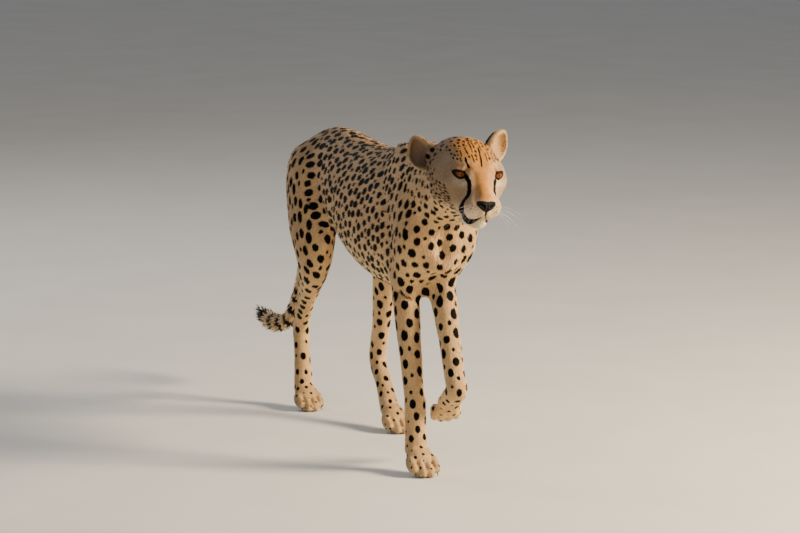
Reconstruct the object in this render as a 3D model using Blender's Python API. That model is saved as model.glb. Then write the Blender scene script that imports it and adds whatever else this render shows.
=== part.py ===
"""A life-size cheetah at a walk: its head, ears, eyes, neck, trunk, tail and four legs as solids.

The animal faces -Y, its left is +X and the floor is z = 0. All sizes are metres. The flesh is
modelled whole, as lofts through named sections and muscles laid over them, then fused, smoothed,
shaped with soft pushes and parted with thin cuts. One foreleg is in mid-swing, so it stands on
three paws.
"""

import math

import bmesh
import bpy
from mathutils import Matrix, Vector

# Driving dimensions
WITHERS = 0.742  # height of the back over the shoulders
RUMP = 0.706  # height of the back over the hips
SHOULDER_Y = -0.300  # shoulder joints, front to back
HIP_Y = 0.375  # hip joints, front to back
EYE_RADIUS = 0.0170
EYE = Vector((0.0370, -0.0145, -0.0015))  # middle of the left eye, from the head's own origin
HEAD_AT = Vector((-0.012, -0.628, 0.709))  # the head's origin, behind the bridge of the nose
HEAD_SIZE = 1.08  # of the sizes given below for the head
HEAD_YAW = math.radians(2)  # towards the animal's left
HEAD_PITCH = math.radians(7)  # nose down
HEAD_ROLL = math.radians(4.0)  # crown towards the animal's left
EYE_TURN = math.radians(12)  # each eye outward
EYE_SLANT = math.radians(6)  # outer corner up
GAP = 0.0003  # between pieces that touch
CUT = 0.0005  # thickness of the cuts that part the body
FORE_MIDDLE = -0.003  # where the cut between the forelegs runs, across
HIND_MIDDLE = -0.003  # and between the hind legs

TAWNY = (0.62, 0.40, 0.19, 1)
AMBER = (0.45, 0.17, 0.03, 1)

# Fineness of the solids
VOXEL = 0.0030
FINE_TRIANGLES = 14000  # at which the head is left
TRIANGLES = 5780
RING_SIDES = 28
STEPS = 7  # rings between one section and the next

LEFT, RIGHT = 1, -1
SIDE_NAMES = {LEFT: "left", RIGHT: "right"}
# The left ear is pricked and the right ear turned out: middle of the cup, turn and lean outward
EARS = {
    LEFT: (Vector((0.0825, 0.1030, 0.0290)), math.radians(30), math.radians(27)),
    RIGHT: (Vector((-0.0750, 0.1080, 0.0105)), math.radians(30), math.radians(30)),
}


def clear_scene():
    for obj in list(bpy.data.objects):
        bpy.data.objects.remove(obj, do_unlink=True)


# Building flesh: every form is added to one bmesh, which is fused afterwards.


def through(rows, steps=STEPS):
    """Rows of numbers on one smooth Catmull-Rom curve through the given rows."""
    rows = [list(map(float, row)) for row in rows]
    first = [2 * a - b for a, b in zip(rows[0], rows[1])]
    last = [2 * a - b for a, b in zip(rows[-1], rows[-2])]
    rows = [first, *rows, last]
    found = []
    for a, b, c, d in zip(rows, rows[1:], rows[2:], rows[3:]):
        for step in range(steps):
            t = step / steps
            found.append([between(*four, t) for four in zip(a, b, c, d)])
    return found + [rows[-2]]


def between(p, q, r, s, t):
    """The Catmull-Rom value a share t of the way from q to r."""
    bend = 2 * p - 5 * q + 4 * r - s
    twist = 3 * q - p - 3 * r + s
    return 0.5 * (2 * q + (r - p) * t + bend * t**2 + twist * t**3)


def loft(flesh, sections, side=Vector((1, 0, 0))):
    """A closed skin over sections: centre x, y, z, half width, half depth, and egg, which widens
    the section's top (or back, on a leg) and narrows its bottom."""
    rows = through(sections)
    centres = [Vector(row[:3]) for row in rows]
    rings = []
    for i, (x, y, z, wide, deep, egg) in enumerate(rows):
        along = (centres[min(i + 1, len(rows) - 1)] - centres[max(i - 1, 0)]).normalized()
        across = (side - along * side.dot(along)).normalized()
        over = across.cross(along)
        ring = []
        for k in range(RING_SIDES):
            angle = 2 * math.pi * k / RING_SIDES
            reach = wide * math.cos(angle) * (1 + egg * math.sin(angle))
            ring.append(flesh.verts.new(centres[i] + across * reach + over * deep * math.sin(angle)))
        rings.append(ring)
    for near, far in zip(rings, rings[1:]):
        for k in range(RING_SIDES):
            after = (k + 1) % RING_SIDES
            flesh.faces.new((near[k], near[after], far[after], far[k]))
    flesh.faces.new(reversed(rings[0]))
    flesh.faces.new(rings[-1])


def muscle(flesh, centre, radii, tilt=(0, 0, 0)):
    """An ellipsoid of flesh, tilted by degrees about X, Y and Z."""
    turn = Matrix.Rotation(math.radians(tilt[2]), 4, "Z")
    turn @= Matrix.Rotation(math.radians(tilt[1]), 4, "Y")
    turn @= Matrix.Rotation(math.radians(tilt[0]), 4, "X")
    place = Matrix.Translation(centre) @ turn @ Matrix.Diagonal((*radii, 1))
    bmesh.ops.create_icosphere(flesh, subdivisions=3, radius=1, matrix=place)


# The body


def add_trunk(flesh):
    """Deep chest, tucked waist and level rump. Each row: y, top, bottom, half width, egg."""
    profile = [
        (-0.400, 0.610, 0.485, 0.036, 0.00),
        (-0.372, 0.660, 0.432, 0.062, 0.00),
        (SHOULDER_Y, WITHERS - 0.018, 0.396, 0.082, -0.12),
        (-0.190, WITHERS - 0.020, 0.384, 0.096, -0.10),
        (-0.060, 0.700, 0.382, 0.104, -0.02),
        (0.060, 0.696, 0.400, 0.101, 0.02),
        (0.170, 0.702, 0.434, 0.089, 0.04),
        (0.270, RUMP + 0.004, 0.474, 0.078, 0.00),
        (HIP_Y, RUMP, 0.492, 0.078, -0.10),
        (0.445, 0.680, 0.515, 0.064, -0.10),
        (0.490, 0.636, 0.545, 0.036, 0.00),
    ]
    sections = [
        (trunk_sway(y), y, (top + bottom) / 2, wide, (top - bottom) / 2, egg)
        for y, top, bottom, wide, egg in profile
    ]
    loft(flesh, sections)


def trunk_sway(y):
    """How far the spine swings to the animal's right towards the hips."""
    return -0.016 * max(0.0, min(1.0, (y + 0.1) / 0.45))


def add_neck(flesh):
    neck = [
        (0.000, -0.260, 0.618, 0.074, 0.104, -0.15),
        (0.000, -0.345, 0.630, 0.072, 0.098, -0.10),
        (-0.001, -0.425, 0.652, 0.068, 0.084, 0.00),
        (-0.003, -0.490, 0.674, 0.065, 0.076, 0.00),
        (-0.004, -0.555, 0.688, 0.062, 0.070, 0.00),
    ]
    loft(flesh, neck)


def add_tail(flesh):
    loft(flesh, tail_sections())


def tail_sections(extra=0.0, skipped=0):
    """It hangs from the rump and swings back above the ground. Its end is a fuller brush."""
    tail = [
        (-0.016, 0.445, 0.660, 0.030, 0.032, 0),
        (-0.016, 0.500, 0.612, 0.027, 0.029, 0),
        (-0.016, 0.556, 0.520, 0.022, 0.023, 0),
        (-0.016, 0.610, 0.400, 0.019, 0.020, 0),
        (-0.016, 0.670, 0.270, 0.018, 0.019, 0),
        (-0.018, 0.745, 0.192, 0.020, 0.021, 0),
        (-0.026, 0.825, 0.168, 0.023, 0.024, 0),
        (-0.036, 0.888, 0.172, 0.022, 0.023, 0),
        (-0.042, 0.925, 0.182, 0.013, 0.014, 0),
        (-0.044, 0.936, 0.186, 0.004, 0.004, 0),
    ]
    return [(x, y, z, wide + extra, deep + extra, egg) for x, y, z, wide, deep, egg in tail[skipped:]]


# Legs


def add_foreleg(flesh, side, elbow, wrist, knuckles, toes):
    """From the shoulder blade to the paw: joints as points, with the muscles' own girths."""
    blade = Vector((side * 0.038, -0.215, WITHERS - 0.040))
    shoulder = Vector((side * 0.060, SHOULDER_Y - 0.038, 0.535))
    upper = shoulder.lerp(elbow, 0.55) + Vector((0, 0.012, 0))
    forearm = elbow.lerp(wrist, 0.22)
    middle = elbow.lerp(wrist, 0.55)
    joint = elbow.lerp(wrist, 0.90)
    cannon = wrist.lerp(knuckles, 0.5)
    loft(
        flesh,
        [
            (*(blade + Vector((0, 0.004, 0.030))), 0.008, 0.012, 0),
            (*(blade + Vector((0, 0.002, 0.012))), 0.018, 0.040, 0),
            (*blade.lerp(shoulder, 0.35), 0.028, 0.062, 0),
            (*blade.lerp(shoulder, 0.7), 0.034, 0.064, 0),
            (*shoulder, 0.035, 0.060, 0),
            (*upper, 0.034, 0.058, 0),
            (*elbow, 0.030, 0.046, 0),
            (*forearm, 0.0310, 0.038, 0),
            (*middle, 0.0255, 0.028, 0),
            (*joint, 0.0225, 0.0235, 0),
            (*wrist, 0.0240, 0.0245, 0),
            (*cannon, 0.0235, 0.0225, 0),
            (*knuckles, 0.0260, 0.0230, 0),
        ],
    )
    muscle(flesh, elbow + Vector((0, 0.026, 0.012)), (0.020, 0.022, 0.030))  # point of the elbow
    behind_wrist = wrist.lerp(knuckles, 0.15) - (toes - knuckles).normalized() * 0.018
    muscle(flesh, behind_wrist, (0.010, 0.010, 0.013))
    add_paw(flesh, knuckles, toes, 0.0355)


def add_hind_leg(flesh, side, knee, hock, knuckles, toes):
    """From the hip to the paw, with the thigh's broad muscles and the heel's tendon."""
    hip = Vector((side * 0.062 - 0.016, HIP_Y, 0.605))
    calf = knee.lerp(hock, 0.30)
    shin = knee.lerp(hock, 0.68)
    cannon = hock.lerp(knuckles, 0.5)
    loft(
        flesh,
        [
            (*(hip + Vector((-side * 0.026, 0, 0.072))), 0.012, 0.020, 0),
            (*(hip + Vector((-side * 0.014, 0, 0.044))), 0.034, 0.070, 0),
            (*hip, 0.050, 0.098, 0),
            (*hip.lerp(knee, 0.5), 0.052, 0.104, 0),
            (*hip.lerp(knee, 0.85), 0.046, 0.086, 0),
            (*knee.lerp(hock, 0.08), 0.037, 0.058, 0),
            (*calf, 0.031, 0.042, 0),
            (*shin, 0.0205, 0.0255, 0),
            (*hock, 0.0195, 0.0250, 0),
            (*cannon, 0.0190, 0.0195, 0),
            (*knuckles, 0.0240, 0.0215, 0),
        ],
    )
    flank = knee + Vector((-side * 0.004, -0.035, 0.075))
    muscle(flesh, flank, (0.022, 0.050, 0.070), (-24, 0, 0))  # fold of skin between belly and knee
    heel = hock + (hock - cannon).normalized() * 0.012 + Vector((0, 0.020, 0))
    muscle(flesh, heel, (0.0120, 0.0145, 0.0190), (12, 0, 0))
    add_tendon(flesh, knee.lerp(hock, 0.35) + Vector((0, 0.022, 0)), heel)
    add_paw(flesh, knuckles, toes, 0.0335)


def add_tendon(flesh, top, heel):
    """The heel's tendon, which stands behind the shin."""
    loft(
        flesh,
        [
            (*top, 0.0140, 0.0180, 0),
            (*top.lerp(heel, 0.5), 0.0085, 0.0130, 0),
            (*top.lerp(heel, 0.85), 0.0080, 0.0110, 0),
            (*heel, 0.0090, 0.0100, 0),
        ],
    )


def add_paw(flesh, knuckles, toes, half_width):
    """Four toes that bend down from the knuckles, the middle two leading, on one pad."""
    forward = (toes - knuckles).normalized()
    across = Vector((1, 0, 0))
    over = across.cross(forward).normalized()
    length = (toes - knuckles).length
    pad_centre = knuckles.lerp(toes, 0.30) + over * -0.006
    add_lobe(flesh, pad_centre, across, forward, over, (half_width * 0.82, length * 0.55, 0.019))
    for place, lead in ((-0.72, 0.62), (-0.25, 0.80), (0.25, 0.80), (0.72, 0.62)):
        centre = knuckles + forward * length * lead + across * half_width * place - over * 0.002
        add_lobe(flesh, centre, across, forward, over, (0.0105, length * 0.36, 0.0165))
        tip = centre + forward * length * 0.26 - over * 0.003
        add_lobe(flesh, tip, across, forward, over, (0.0095, 0.0140, 0.0125))


def add_lobe(flesh, centre, across, forward, over, radii):
    """An ellipsoid whose axes lie along the paw's own."""
    axes = Matrix((across, forward, over)).transposed().to_4x4()
    place = Matrix.Translation(centre) @ axes @ Matrix.Diagonal((*radii, 1))
    bmesh.ops.create_icosphere(flesh, subdivisions=3, radius=1, matrix=place)


def add_legs(flesh):
    """The stride: right fore under the chest, left fore in swing, right hind behind, left hind ahead."""
    add_foreleg(
        flesh,
        RIGHT,
        elbow=Vector((-0.050, -0.262, 0.415)),
        wrist=Vector((-0.043, -0.318, 0.158)),
        knuckles=Vector((-0.044, -0.330, 0.048)),
        toes=Vector((-0.044, -0.398, 0.012)),
    )
    add_foreleg(
        flesh,
        LEFT,
        elbow=Vector((0.028, -0.290, 0.425)),
        wrist=Vector((0.025, -0.405, 0.196)),
        knuckles=Vector((0.038, -0.312, 0.150)),
        toes=Vector((0.046, -0.256, 0.116)),
    )
    add_hind_leg(
        flesh,
        RIGHT,
        knee=Vector((-0.084, 0.318, 0.395)),
        hock=Vector((-0.042, 0.570, 0.205)),
        knuckles=Vector((-0.042, 0.550, 0.045)),
        toes=Vector((-0.043, 0.485, 0.012)),
    )
    add_hind_leg(
        flesh,
        LEFT,
        knee=Vector((0.066, 0.212, 0.412)),
        hock=Vector((0.074, 0.322, 0.152)),
        knuckles=Vector((0.067, 0.200, 0.045)),
        toes=Vector((0.069, 0.133, 0.012)),
    )


# Head, in its own frame: the origin is behind the bridge of the nose, -Y is forward and Z is up.


def head_frame():
    turn = Matrix.Rotation(HEAD_YAW, 4, "Z")
    turn @= Matrix.Rotation(HEAD_ROLL, 4, "Y")
    turn @= Matrix.Rotation(HEAD_PITCH, 4, "X")
    return Matrix.Translation(HEAD_AT) @ turn @ Matrix.Scale(HEAD_SIZE, 4)


def add_head(flesh):
    """A short domed skull and a blunt muzzle. Each row: y, top, bottom, half width, egg."""
    profile = [
        (-0.0860, -0.0320, -0.0520, 0.0150, 0.00),
        (-0.0800, -0.0275, -0.0660, 0.0220, 0.00),
        (-0.0680, -0.0205, -0.0810, 0.0285, -0.04),
        (-0.0520, -0.0105, -0.0950, 0.0330, -0.08),
        (-0.0360, 0.0005, -0.0980, 0.0410, -0.06),
        (-0.0220, 0.0125, -0.0970, 0.0530, -0.02),
        (-0.0080, 0.0265, -0.0940, 0.0650, 0.04),
        (0.0100, 0.0400, -0.0920, 0.0710, 0.04),
        (0.0350, 0.0505, -0.0890, 0.0730, 0.03),
        (0.0600, 0.0540, -0.0850, 0.0720, 0.02),
        (0.0900, 0.0480, -0.0800, 0.0670, 0.02),
        (0.1180, 0.0280, -0.0760, 0.0580, 0.00),
        (0.1450, 0.0000, -0.0680, 0.0400, 0.00),
    ]
    head = bmesh.new()
    loft(head, [(0, y, (top + low) / 2, wide, (top - low) / 2, egg) for y, top, low, wide, egg in profile])
    for side in (LEFT, RIGHT):
        muscle(head, (side * 0.0180, -0.0650, -0.0570), (0.0200, 0.0190, 0.0215))  # whisker pad
        muscle(head, (side * 0.0440, 0.0420, -0.0430), (0.0270, 0.0440, 0.0370))  # cheek
        muscle(head, (side * 0.0560, 0.0940, 0.0060), (0.0160, 0.0240, 0.0240))  # root of the ear
        muscle(head, (side * 0.0120, -0.0280, -0.0905), (0.0150, 0.0280, 0.0140))  # lower jaw
    muscle(head, (0, -0.0440, -0.0935), (0.0190, 0.0170, 0.0130))  # chin
    muscle(head, (0, -0.0780, -0.0390), (0.0180, 0.0110, 0.0100))  # nose
    muscle(head, (0, -0.0520, -0.0200), (0.0155, 0.0340, 0.0100), (33, 0, 0))  # bridge of the nose
    head.transform(head_frame())
    mesh = bpy.data.meshes.new("head_forms")
    head.to_mesh(mesh)
    flesh.from_mesh(mesh)
    head.free()


def eye_centre(side):
    return head_frame() @ Vector((side * EYE.x, EYE.y, EYE.z))


def eye_frame(side):
    """The eye looks ahead and a little outward."""
    return Matrix.Translation(eye_centre(side)) @ head_frame().to_3x3().to_4x4() @ Matrix.Rotation(
        side * EYE_TURN, 4, "Z"
    )


def add_ear(side):
    """A short round cup: an outer shell with its hollow cut out, open forward and outward."""
    ear = new_object(f"ear_{SIDE_NAMES[side]}")
    shell = bmesh.new()
    middle, turn, lean = EARS[side]
    place = head_frame() @ Matrix.Translation(middle)
    place @= Matrix.Rotation(side * turn, 4, "Z") @ Matrix.Rotation(side * lean, 4, "Y")
    bmesh.ops.create_uvsphere(shell, u_segments=16, v_segments=10, radius=1)
    taper(shell)
    shell.transform(place @ Matrix.Diagonal((0.0265, 0.0175, 0.0350, 1)))
    shell.to_mesh(ear.data)
    shell.free()
    hollow = helper(f"ear_hollow_{SIDE_NAMES[side]}")
    cup = bmesh.new()
    bmesh.ops.create_uvsphere(cup, u_segments=14, v_segments=9, radius=1)
    taper(cup)
    place @= Matrix.Translation((0, -0.0130, 0.0020))
    cup.transform(place @ Matrix.Diagonal((0.0230, 0.0230, 0.0310, 1)))
    cup.to_mesh(hollow.data)
    cup.free()
    boolean(ear, hollow, "DIFFERENCE")
    return ear


def taper(ear):
    """A ball, one across its middle, made broad at the foot and narrow at the tip."""
    for vertex in ear.verts:
        vertex.co.x *= 1.06 - 0.26 * vertex.co.z


def add_eye(side):
    eye = new_object(f"eye_{SIDE_NAMES[side]}")
    ball(eye, side, EYE_RADIUS)
    return eye


def ball(obj, side, radius):
    sphere = bmesh.new()
    bmesh.ops.create_uvsphere(sphere, u_segments=14, v_segments=9, radius=radius)
    sphere.transform(eye_frame(side) @ Matrix.Rotation(math.pi / 2, 4, "X"))
    sphere.to_mesh(obj.data)
    sphere.free()


def lid_opening(side):
    """What the lids leave open: an almond bored into the face along the eye's gaze."""
    almond = helper(f"lids_{SIDE_NAMES[side]}")
    bore = bmesh.new()
    bmesh.ops.create_uvsphere(bore, u_segments=16, v_segments=9, radius=1)
    slant = Matrix.Rotation(-side * EYE_SLANT, 4, "Y")
    bore.transform(
        eye_frame(side)
        @ Matrix.Translation((0, -EYE_RADIUS * 1.2, -0.0010))
        @ slant
        @ Matrix.Diagonal((0.0165, 0.0200, 0.0085, 1))
    )
    bore.to_mesh(almond.data)
    bore.free()
    return almond


# Objects, fusing and parting


def new_object(name):
    obj = bpy.data.objects.new(name, bpy.data.meshes.new(name))
    bpy.context.scene.collection.objects.link(obj)
    return obj


def helper(name):
    """A cutter, which isn't part of the animal."""
    obj = new_object(name)
    obj.hide_render = True
    obj.display_type = "WIRE"
    return obj


def settle(obj):
    """Applies the object's modifiers."""
    graph = bpy.context.evaluated_depsgraph_get()
    mesh = bpy.data.meshes.new_from_object(obj.evaluated_get(graph))
    obj.modifiers.clear()
    obj.data = mesh


def boolean(obj, cutter, operation):
    cut = obj.modifiers.new(operation.lower(), "BOOLEAN")
    cut.operation = operation
    cut.object = cutter
    settle(obj)


def copy_of(obj, name):
    twin = bpy.data.objects.new(name, obj.data.copy())
    bpy.context.scene.collection.objects.link(twin)
    return twin


def swollen(cutter, by):
    """The cutter moved outward, so that what it leaves keeps a gap to what it takes."""
    wider = copy_of(cutter, cutter.name + "_wider")
    wider.hide_render = True
    wider.display_type = "WIRE"
    outward = wider.modifiers.new("gap", "DISPLACE")
    outward.strength = by
    outward.mid_level = 0
    settle(wider)
    return wider


def region(name, low, high, planes=()):
    """A convex cutter: a box trimmed by planes, each a point and the normal of the side to drop."""
    cutter = helper(name)
    box = bmesh.new()
    size = Vector(high) - Vector(low)
    place = Matrix.Translation((Vector(high) + Vector(low)) / 2) @ Matrix.Diagonal((*size, 1))
    bmesh.ops.create_cube(box, size=1, matrix=place)
    for point, normal in planes:
        geom = box.verts[:] + box.edges[:] + box.faces[:]
        bmesh.ops.bisect_plane(box, geom=geom, plane_co=point, plane_no=normal, clear_outer=True)
        bmesh.ops.holes_fill(box, edges=[edge for edge in box.edges if edge.is_boundary])
    bmesh.ops.recalc_face_normals(box, faces=box.faces)
    box.to_mesh(cutter.data)
    box.free()
    return cutter


def part_off(whole, name, cutter):
    """The share of the whole inside the cutter becomes a piece, and the whole loses it."""
    piece = copy_of(whole, name)
    boolean(piece, cutter, "INTERSECT")
    boolean(whole, swollen(cutter, CUT), "DIFFERENCE")
    return piece


def fused(flesh):
    """One smooth body out of all the forms."""
    body = new_object("trunk")
    flesh.to_mesh(body.data)
    flesh.free()
    remesh = body.modifiers.new("fuse", "REMESH")
    remesh.mode = "VOXEL"
    remesh.voxel_size = VOXEL
    settle(body)
    soften(body, "bulk", bulk_weight, 400)
    soften(body, "all", lambda place: 1.0, 6)
    return body


def soften(body, name, weight, iterations):
    """Smooths the body where the weight says."""
    group = body.vertex_groups.new(name=name)
    for vertex in body.data.vertices:
        group.add([vertex.index], weight(vertex.co), "REPLACE")
    smooth = body.modifiers.new(name, "SMOOTH")
    smooth.factor = 0.5
    smooth.iterations = iterations
    smooth.vertex_group = name
    settle(body)
    body.vertex_groups.clear()


def bulk_weight(place):
    """Trunk, neck and thighs are smoothed most, and the head and the lower legs least."""
    to_head = (place - HEAD_AT).length
    leg = smoothstep(0.22, 0.42, place.z)
    return leg * smoothstep(0.12, 0.20, to_head)


def smoothstep(low, high, value):
    t = max(0.0, min(1.0, (value - low) / (high - low)))
    return t * t * (3 - 2 * t)


def push(body, centre, radius, by):
    """Moves the flesh within a radius, most at its centre and not at all at its edge."""
    for vertex in body.data.vertices:
        far = (vertex.co - centre).length / radius
        if far < 1:
            vertex.co += by * (1 - far * far) ** 2


def shape_head(body):
    """Hollows and ridges of the face, in the head's own frame and mirrored."""
    frame = head_frame()
    turn = frame.to_3x3()
    strokes = [
        ((0.0330, -0.0220, 0.0000), 0.0200, (0.0000, 0.0025, 0.0000)),  # hollow of the eye
        ((0.0190, -0.0320, -0.0040), 0.0180, (-0.0030, 0.0060, 0.0000)),  # inner corner beside the bridge
        ((0.0700, 0.0300, 0.0300), 0.0300, (-0.0040, 0.0000, 0.0000)),  # temple
        ((0.0400, -0.0520, -0.0760), 0.0180, (-0.0040, 0.0000, 0.0000)),  # below the whisker pad
    ]
    for centre, radius, by in strokes:
        for side in (LEFT, RIGHT) if centre[0] else (LEFT,):
            place = frame @ Vector((side * centre[0], *centre[1:]))
            push(body, place, radius * HEAD_SIZE, turn @ Vector((side * by[0], *by[1:])))


def lighten(body):
    """Fewer triangles: everywhere at first, and then everywhere but on the head."""
    collapse(body, FINE_TRIANGLES)
    group = body.vertex_groups.new(name="plain")
    for vertex in body.data.vertices:
        to_head = (vertex.co - head_frame() @ Vector((0, 0.02, -0.02))).length
        group.add([vertex.index], 0 if to_head < 0.13 else 1, "REPLACE")
    collapse(body, TRIANGLES, "plain")
    body.vertex_groups.clear()


def collapse(body, triangles, group=""):
    now = sum(len(face.vertices) - 2 for face in body.data.polygons)
    fewer = body.modifiers.new("fewer", "DECIMATE")
    fewer.ratio = triangles / now
    fewer.vertex_group = group
    settle(body)


def stand_on_floor(body):
    """The soles are cut flat at z = 0."""
    flesh = bmesh.new()
    flesh.from_mesh(body.data)
    geom = flesh.verts[:] + flesh.edges[:] + flesh.faces[:]
    cut = bmesh.ops.bisect_plane(flesh, geom=geom, plane_co=(0, 0, 0), plane_no=(0, 0, -1), clear_outer=True)
    rim = [edge for edge in cut["geom_cut"] if isinstance(edge, bmesh.types.BMEdge)]
    bmesh.ops.holes_fill(flesh, edges=rim)
    bmesh.ops.recalc_face_normals(flesh, faces=flesh.faces)
    flesh.to_mesh(body.data)
    flesh.free()


def part(body):
    """The whole body comes apart at thin flat cuts, and what is left is the trunk."""
    tail_sleeve = helper("tail_sleeve")
    sleeve = bmesh.new()
    loft(sleeve, tail_sections(extra=0.016, skipped=1))
    bmesh.ops.recalc_face_normals(sleeve, faces=sleeve.faces)
    sleeve.to_mesh(tail_sleeve.data)
    sleeve.free()
    throat = (HEAD_AT + Vector((0, 0.128, 0)), (0, 0.93, -0.37))
    collar = (Vector((0, -0.360, 0.620)), (0, 0.85, -0.50))
    pieces = [
        part_off(body, "tail", tail_sleeve),
        part_off(body, "head", region("head_region", (-0.2, -0.9, 0.5), (0.2, -0.3, 0.9), [throat])),
        part_off(body, "neck", region("neck_region", (-0.2, -0.9, 0.5), (0.2, -0.2, 0.9), [collar])),
    ]
    for side in (LEFT, RIGHT):
        name = SIDE_NAMES[side]
        elbow = (Vector((FORE_MIDDLE, 0, 0.372)), (-side * 0.51, 0, 0.86))
        groin = (Vector((HIND_MIDDLE, 0.330, 0.462)), (-side * 0.62, -0.27, 0.73))
        near, far = sorted((FORE_MIDDLE, side * 0.3))
        fore = region(f"fore_region_{name}", (near, -0.6, -0.1), (far, -0.19, 0.7), [elbow])
        pieces.append(part_off(body, f"foreleg_{name}", fore))
        near, far = sorted((HIND_MIDDLE, side * 0.3))
        hind = region(f"hind_region_{name}", (near, 0.02, -0.1), (far, 0.75, 0.8), [groin])
        pieces.append(part_off(body, f"hind_leg_{name}", hind))
    return pieces + [body]


def open_eyes(head):
    """Sockets that hold the eyeballs, and the almonds the lids leave open."""
    for side in (LEFT, RIGHT):
        socket = helper(f"socket_{SIDE_NAMES[side]}")
        ball(socket, side, EYE_RADIUS + GAP)
        boolean(head, socket, "DIFFERENCE")
        boolean(head, lid_opening(side), "DIFFERENCE")


def seat_ears(head, ears):
    for ear in ears:
        boolean(ear, swollen(head, GAP), "DIFFERENCE")


def finish(pieces):
    """Centres the animal over the origin and gives each piece a colour of its own."""
    places = [vertex.co for obj in pieces for vertex in obj.data.vertices]
    low = [min(place[axis] for place in places) for axis in range(3)]
    high = [max(place[axis] for place in places) for axis in range(3)]
    home = Matrix.Translation((-(low[0] + high[0]) / 2, -(low[1] + high[1]) / 2, -low[2]))
    for obj in pieces:
        obj.data.transform(home)
        material = bpy.data.materials.new(obj.name)
        material.use_nodes = True
        shader = material.node_tree.nodes["Principled BSDF"]
        shader.inputs["Base Color"].default_value = AMBER if obj.name.startswith("eye") else TAWNY
        shader.inputs["Roughness"].default_value = 0.1 if obj.name.startswith("eye") else 0.85
        obj.data.materials.clear()
        obj.data.materials.append(material)


def main():
    clear_scene()
    flesh = bmesh.new()
    add_trunk(flesh)
    add_neck(flesh)
    add_tail(flesh)
    add_legs(flesh)
    add_head(flesh)
    body = fused(flesh)
    shape_head(body)
    lighten(body)
    stand_on_floor(body)
    pieces = part(body)
    head = next(piece for piece in pieces if piece.name == "head")
    ears = [add_ear(side) for side in (LEFT, RIGHT)]
    seat_ears(head, ears)
    open_eyes(head)
    eyes = [add_eye(side) for side in (LEFT, RIGHT)]
    finish(pieces + ears + eyes)


main()
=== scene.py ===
"""Looks of the life-size cheetah: one skin over its flesh, a spotted coat, eyes, whiskers and claws.

The frame's own axes hold throughout: the animal faces -Y, its left is +X and the floor is z = 0. All
sizes are metres. Places on the head are given in the head's own frame, with its origin between the
eyeballs, -Y forward and Z up.
"""

import math

import bmesh
import bpy
import numpy as np
from mathutils import Matrix, Vector
from mathutils.bvhtree import BVHTree
from mathutils.kdtree import KDTree


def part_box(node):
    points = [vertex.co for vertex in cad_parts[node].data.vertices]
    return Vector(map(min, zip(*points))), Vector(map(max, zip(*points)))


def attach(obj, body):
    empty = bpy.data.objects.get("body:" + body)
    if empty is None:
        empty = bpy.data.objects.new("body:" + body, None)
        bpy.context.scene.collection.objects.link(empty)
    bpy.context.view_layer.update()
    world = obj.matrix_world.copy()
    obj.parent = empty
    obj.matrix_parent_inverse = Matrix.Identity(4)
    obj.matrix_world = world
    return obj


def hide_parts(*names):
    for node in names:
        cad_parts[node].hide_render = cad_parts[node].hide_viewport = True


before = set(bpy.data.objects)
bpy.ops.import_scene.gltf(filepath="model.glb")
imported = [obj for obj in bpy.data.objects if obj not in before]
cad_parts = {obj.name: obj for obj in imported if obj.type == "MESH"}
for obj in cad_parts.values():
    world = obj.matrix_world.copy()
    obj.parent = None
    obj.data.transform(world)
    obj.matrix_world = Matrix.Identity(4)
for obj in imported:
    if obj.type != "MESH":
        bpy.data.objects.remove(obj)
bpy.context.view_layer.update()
fate = np.random.default_rng(7)

LEFT, RIGHT = 1, -1
SIDE_NAMES = {LEFT: "left", RIGHT: "right"}
MM = 0.001
LEGS = [f"{leg}_{side}" for leg in ("foreleg", "hind_leg") for side in SIDE_NAMES.values()]
FLESH = ("head", "neck", "trunk", "tail", "ear_left", "ear_right", *LEGS)

# The head's turn and size, as the solids have them
HEAD_YAW, HEAD_ROLL, HEAD_PITCH = (math.radians(angle) for angle in (2, 4, 7))
HEAD_SIZE = 1.08
EYE_RADIUS = 0.0170 * HEAD_SIZE
EYES_MIDDLE = Vector((0, -0.0145, -0.0015))
EYE_TURN = math.radians(12)
# The middles of the ears, in the head's frame
EARS = {LEFT: np.array((82, 103, 29)) * MM, RIGHT: np.array((-75, 108, 10)) * MM}

# Fineness of the skin: its first net, its triangles once lightened, and then its longest edges
VOXEL = 0.0025
SKIN_TRIANGLES = 130000
LONGEST_EDGE = 0.0085

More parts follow.
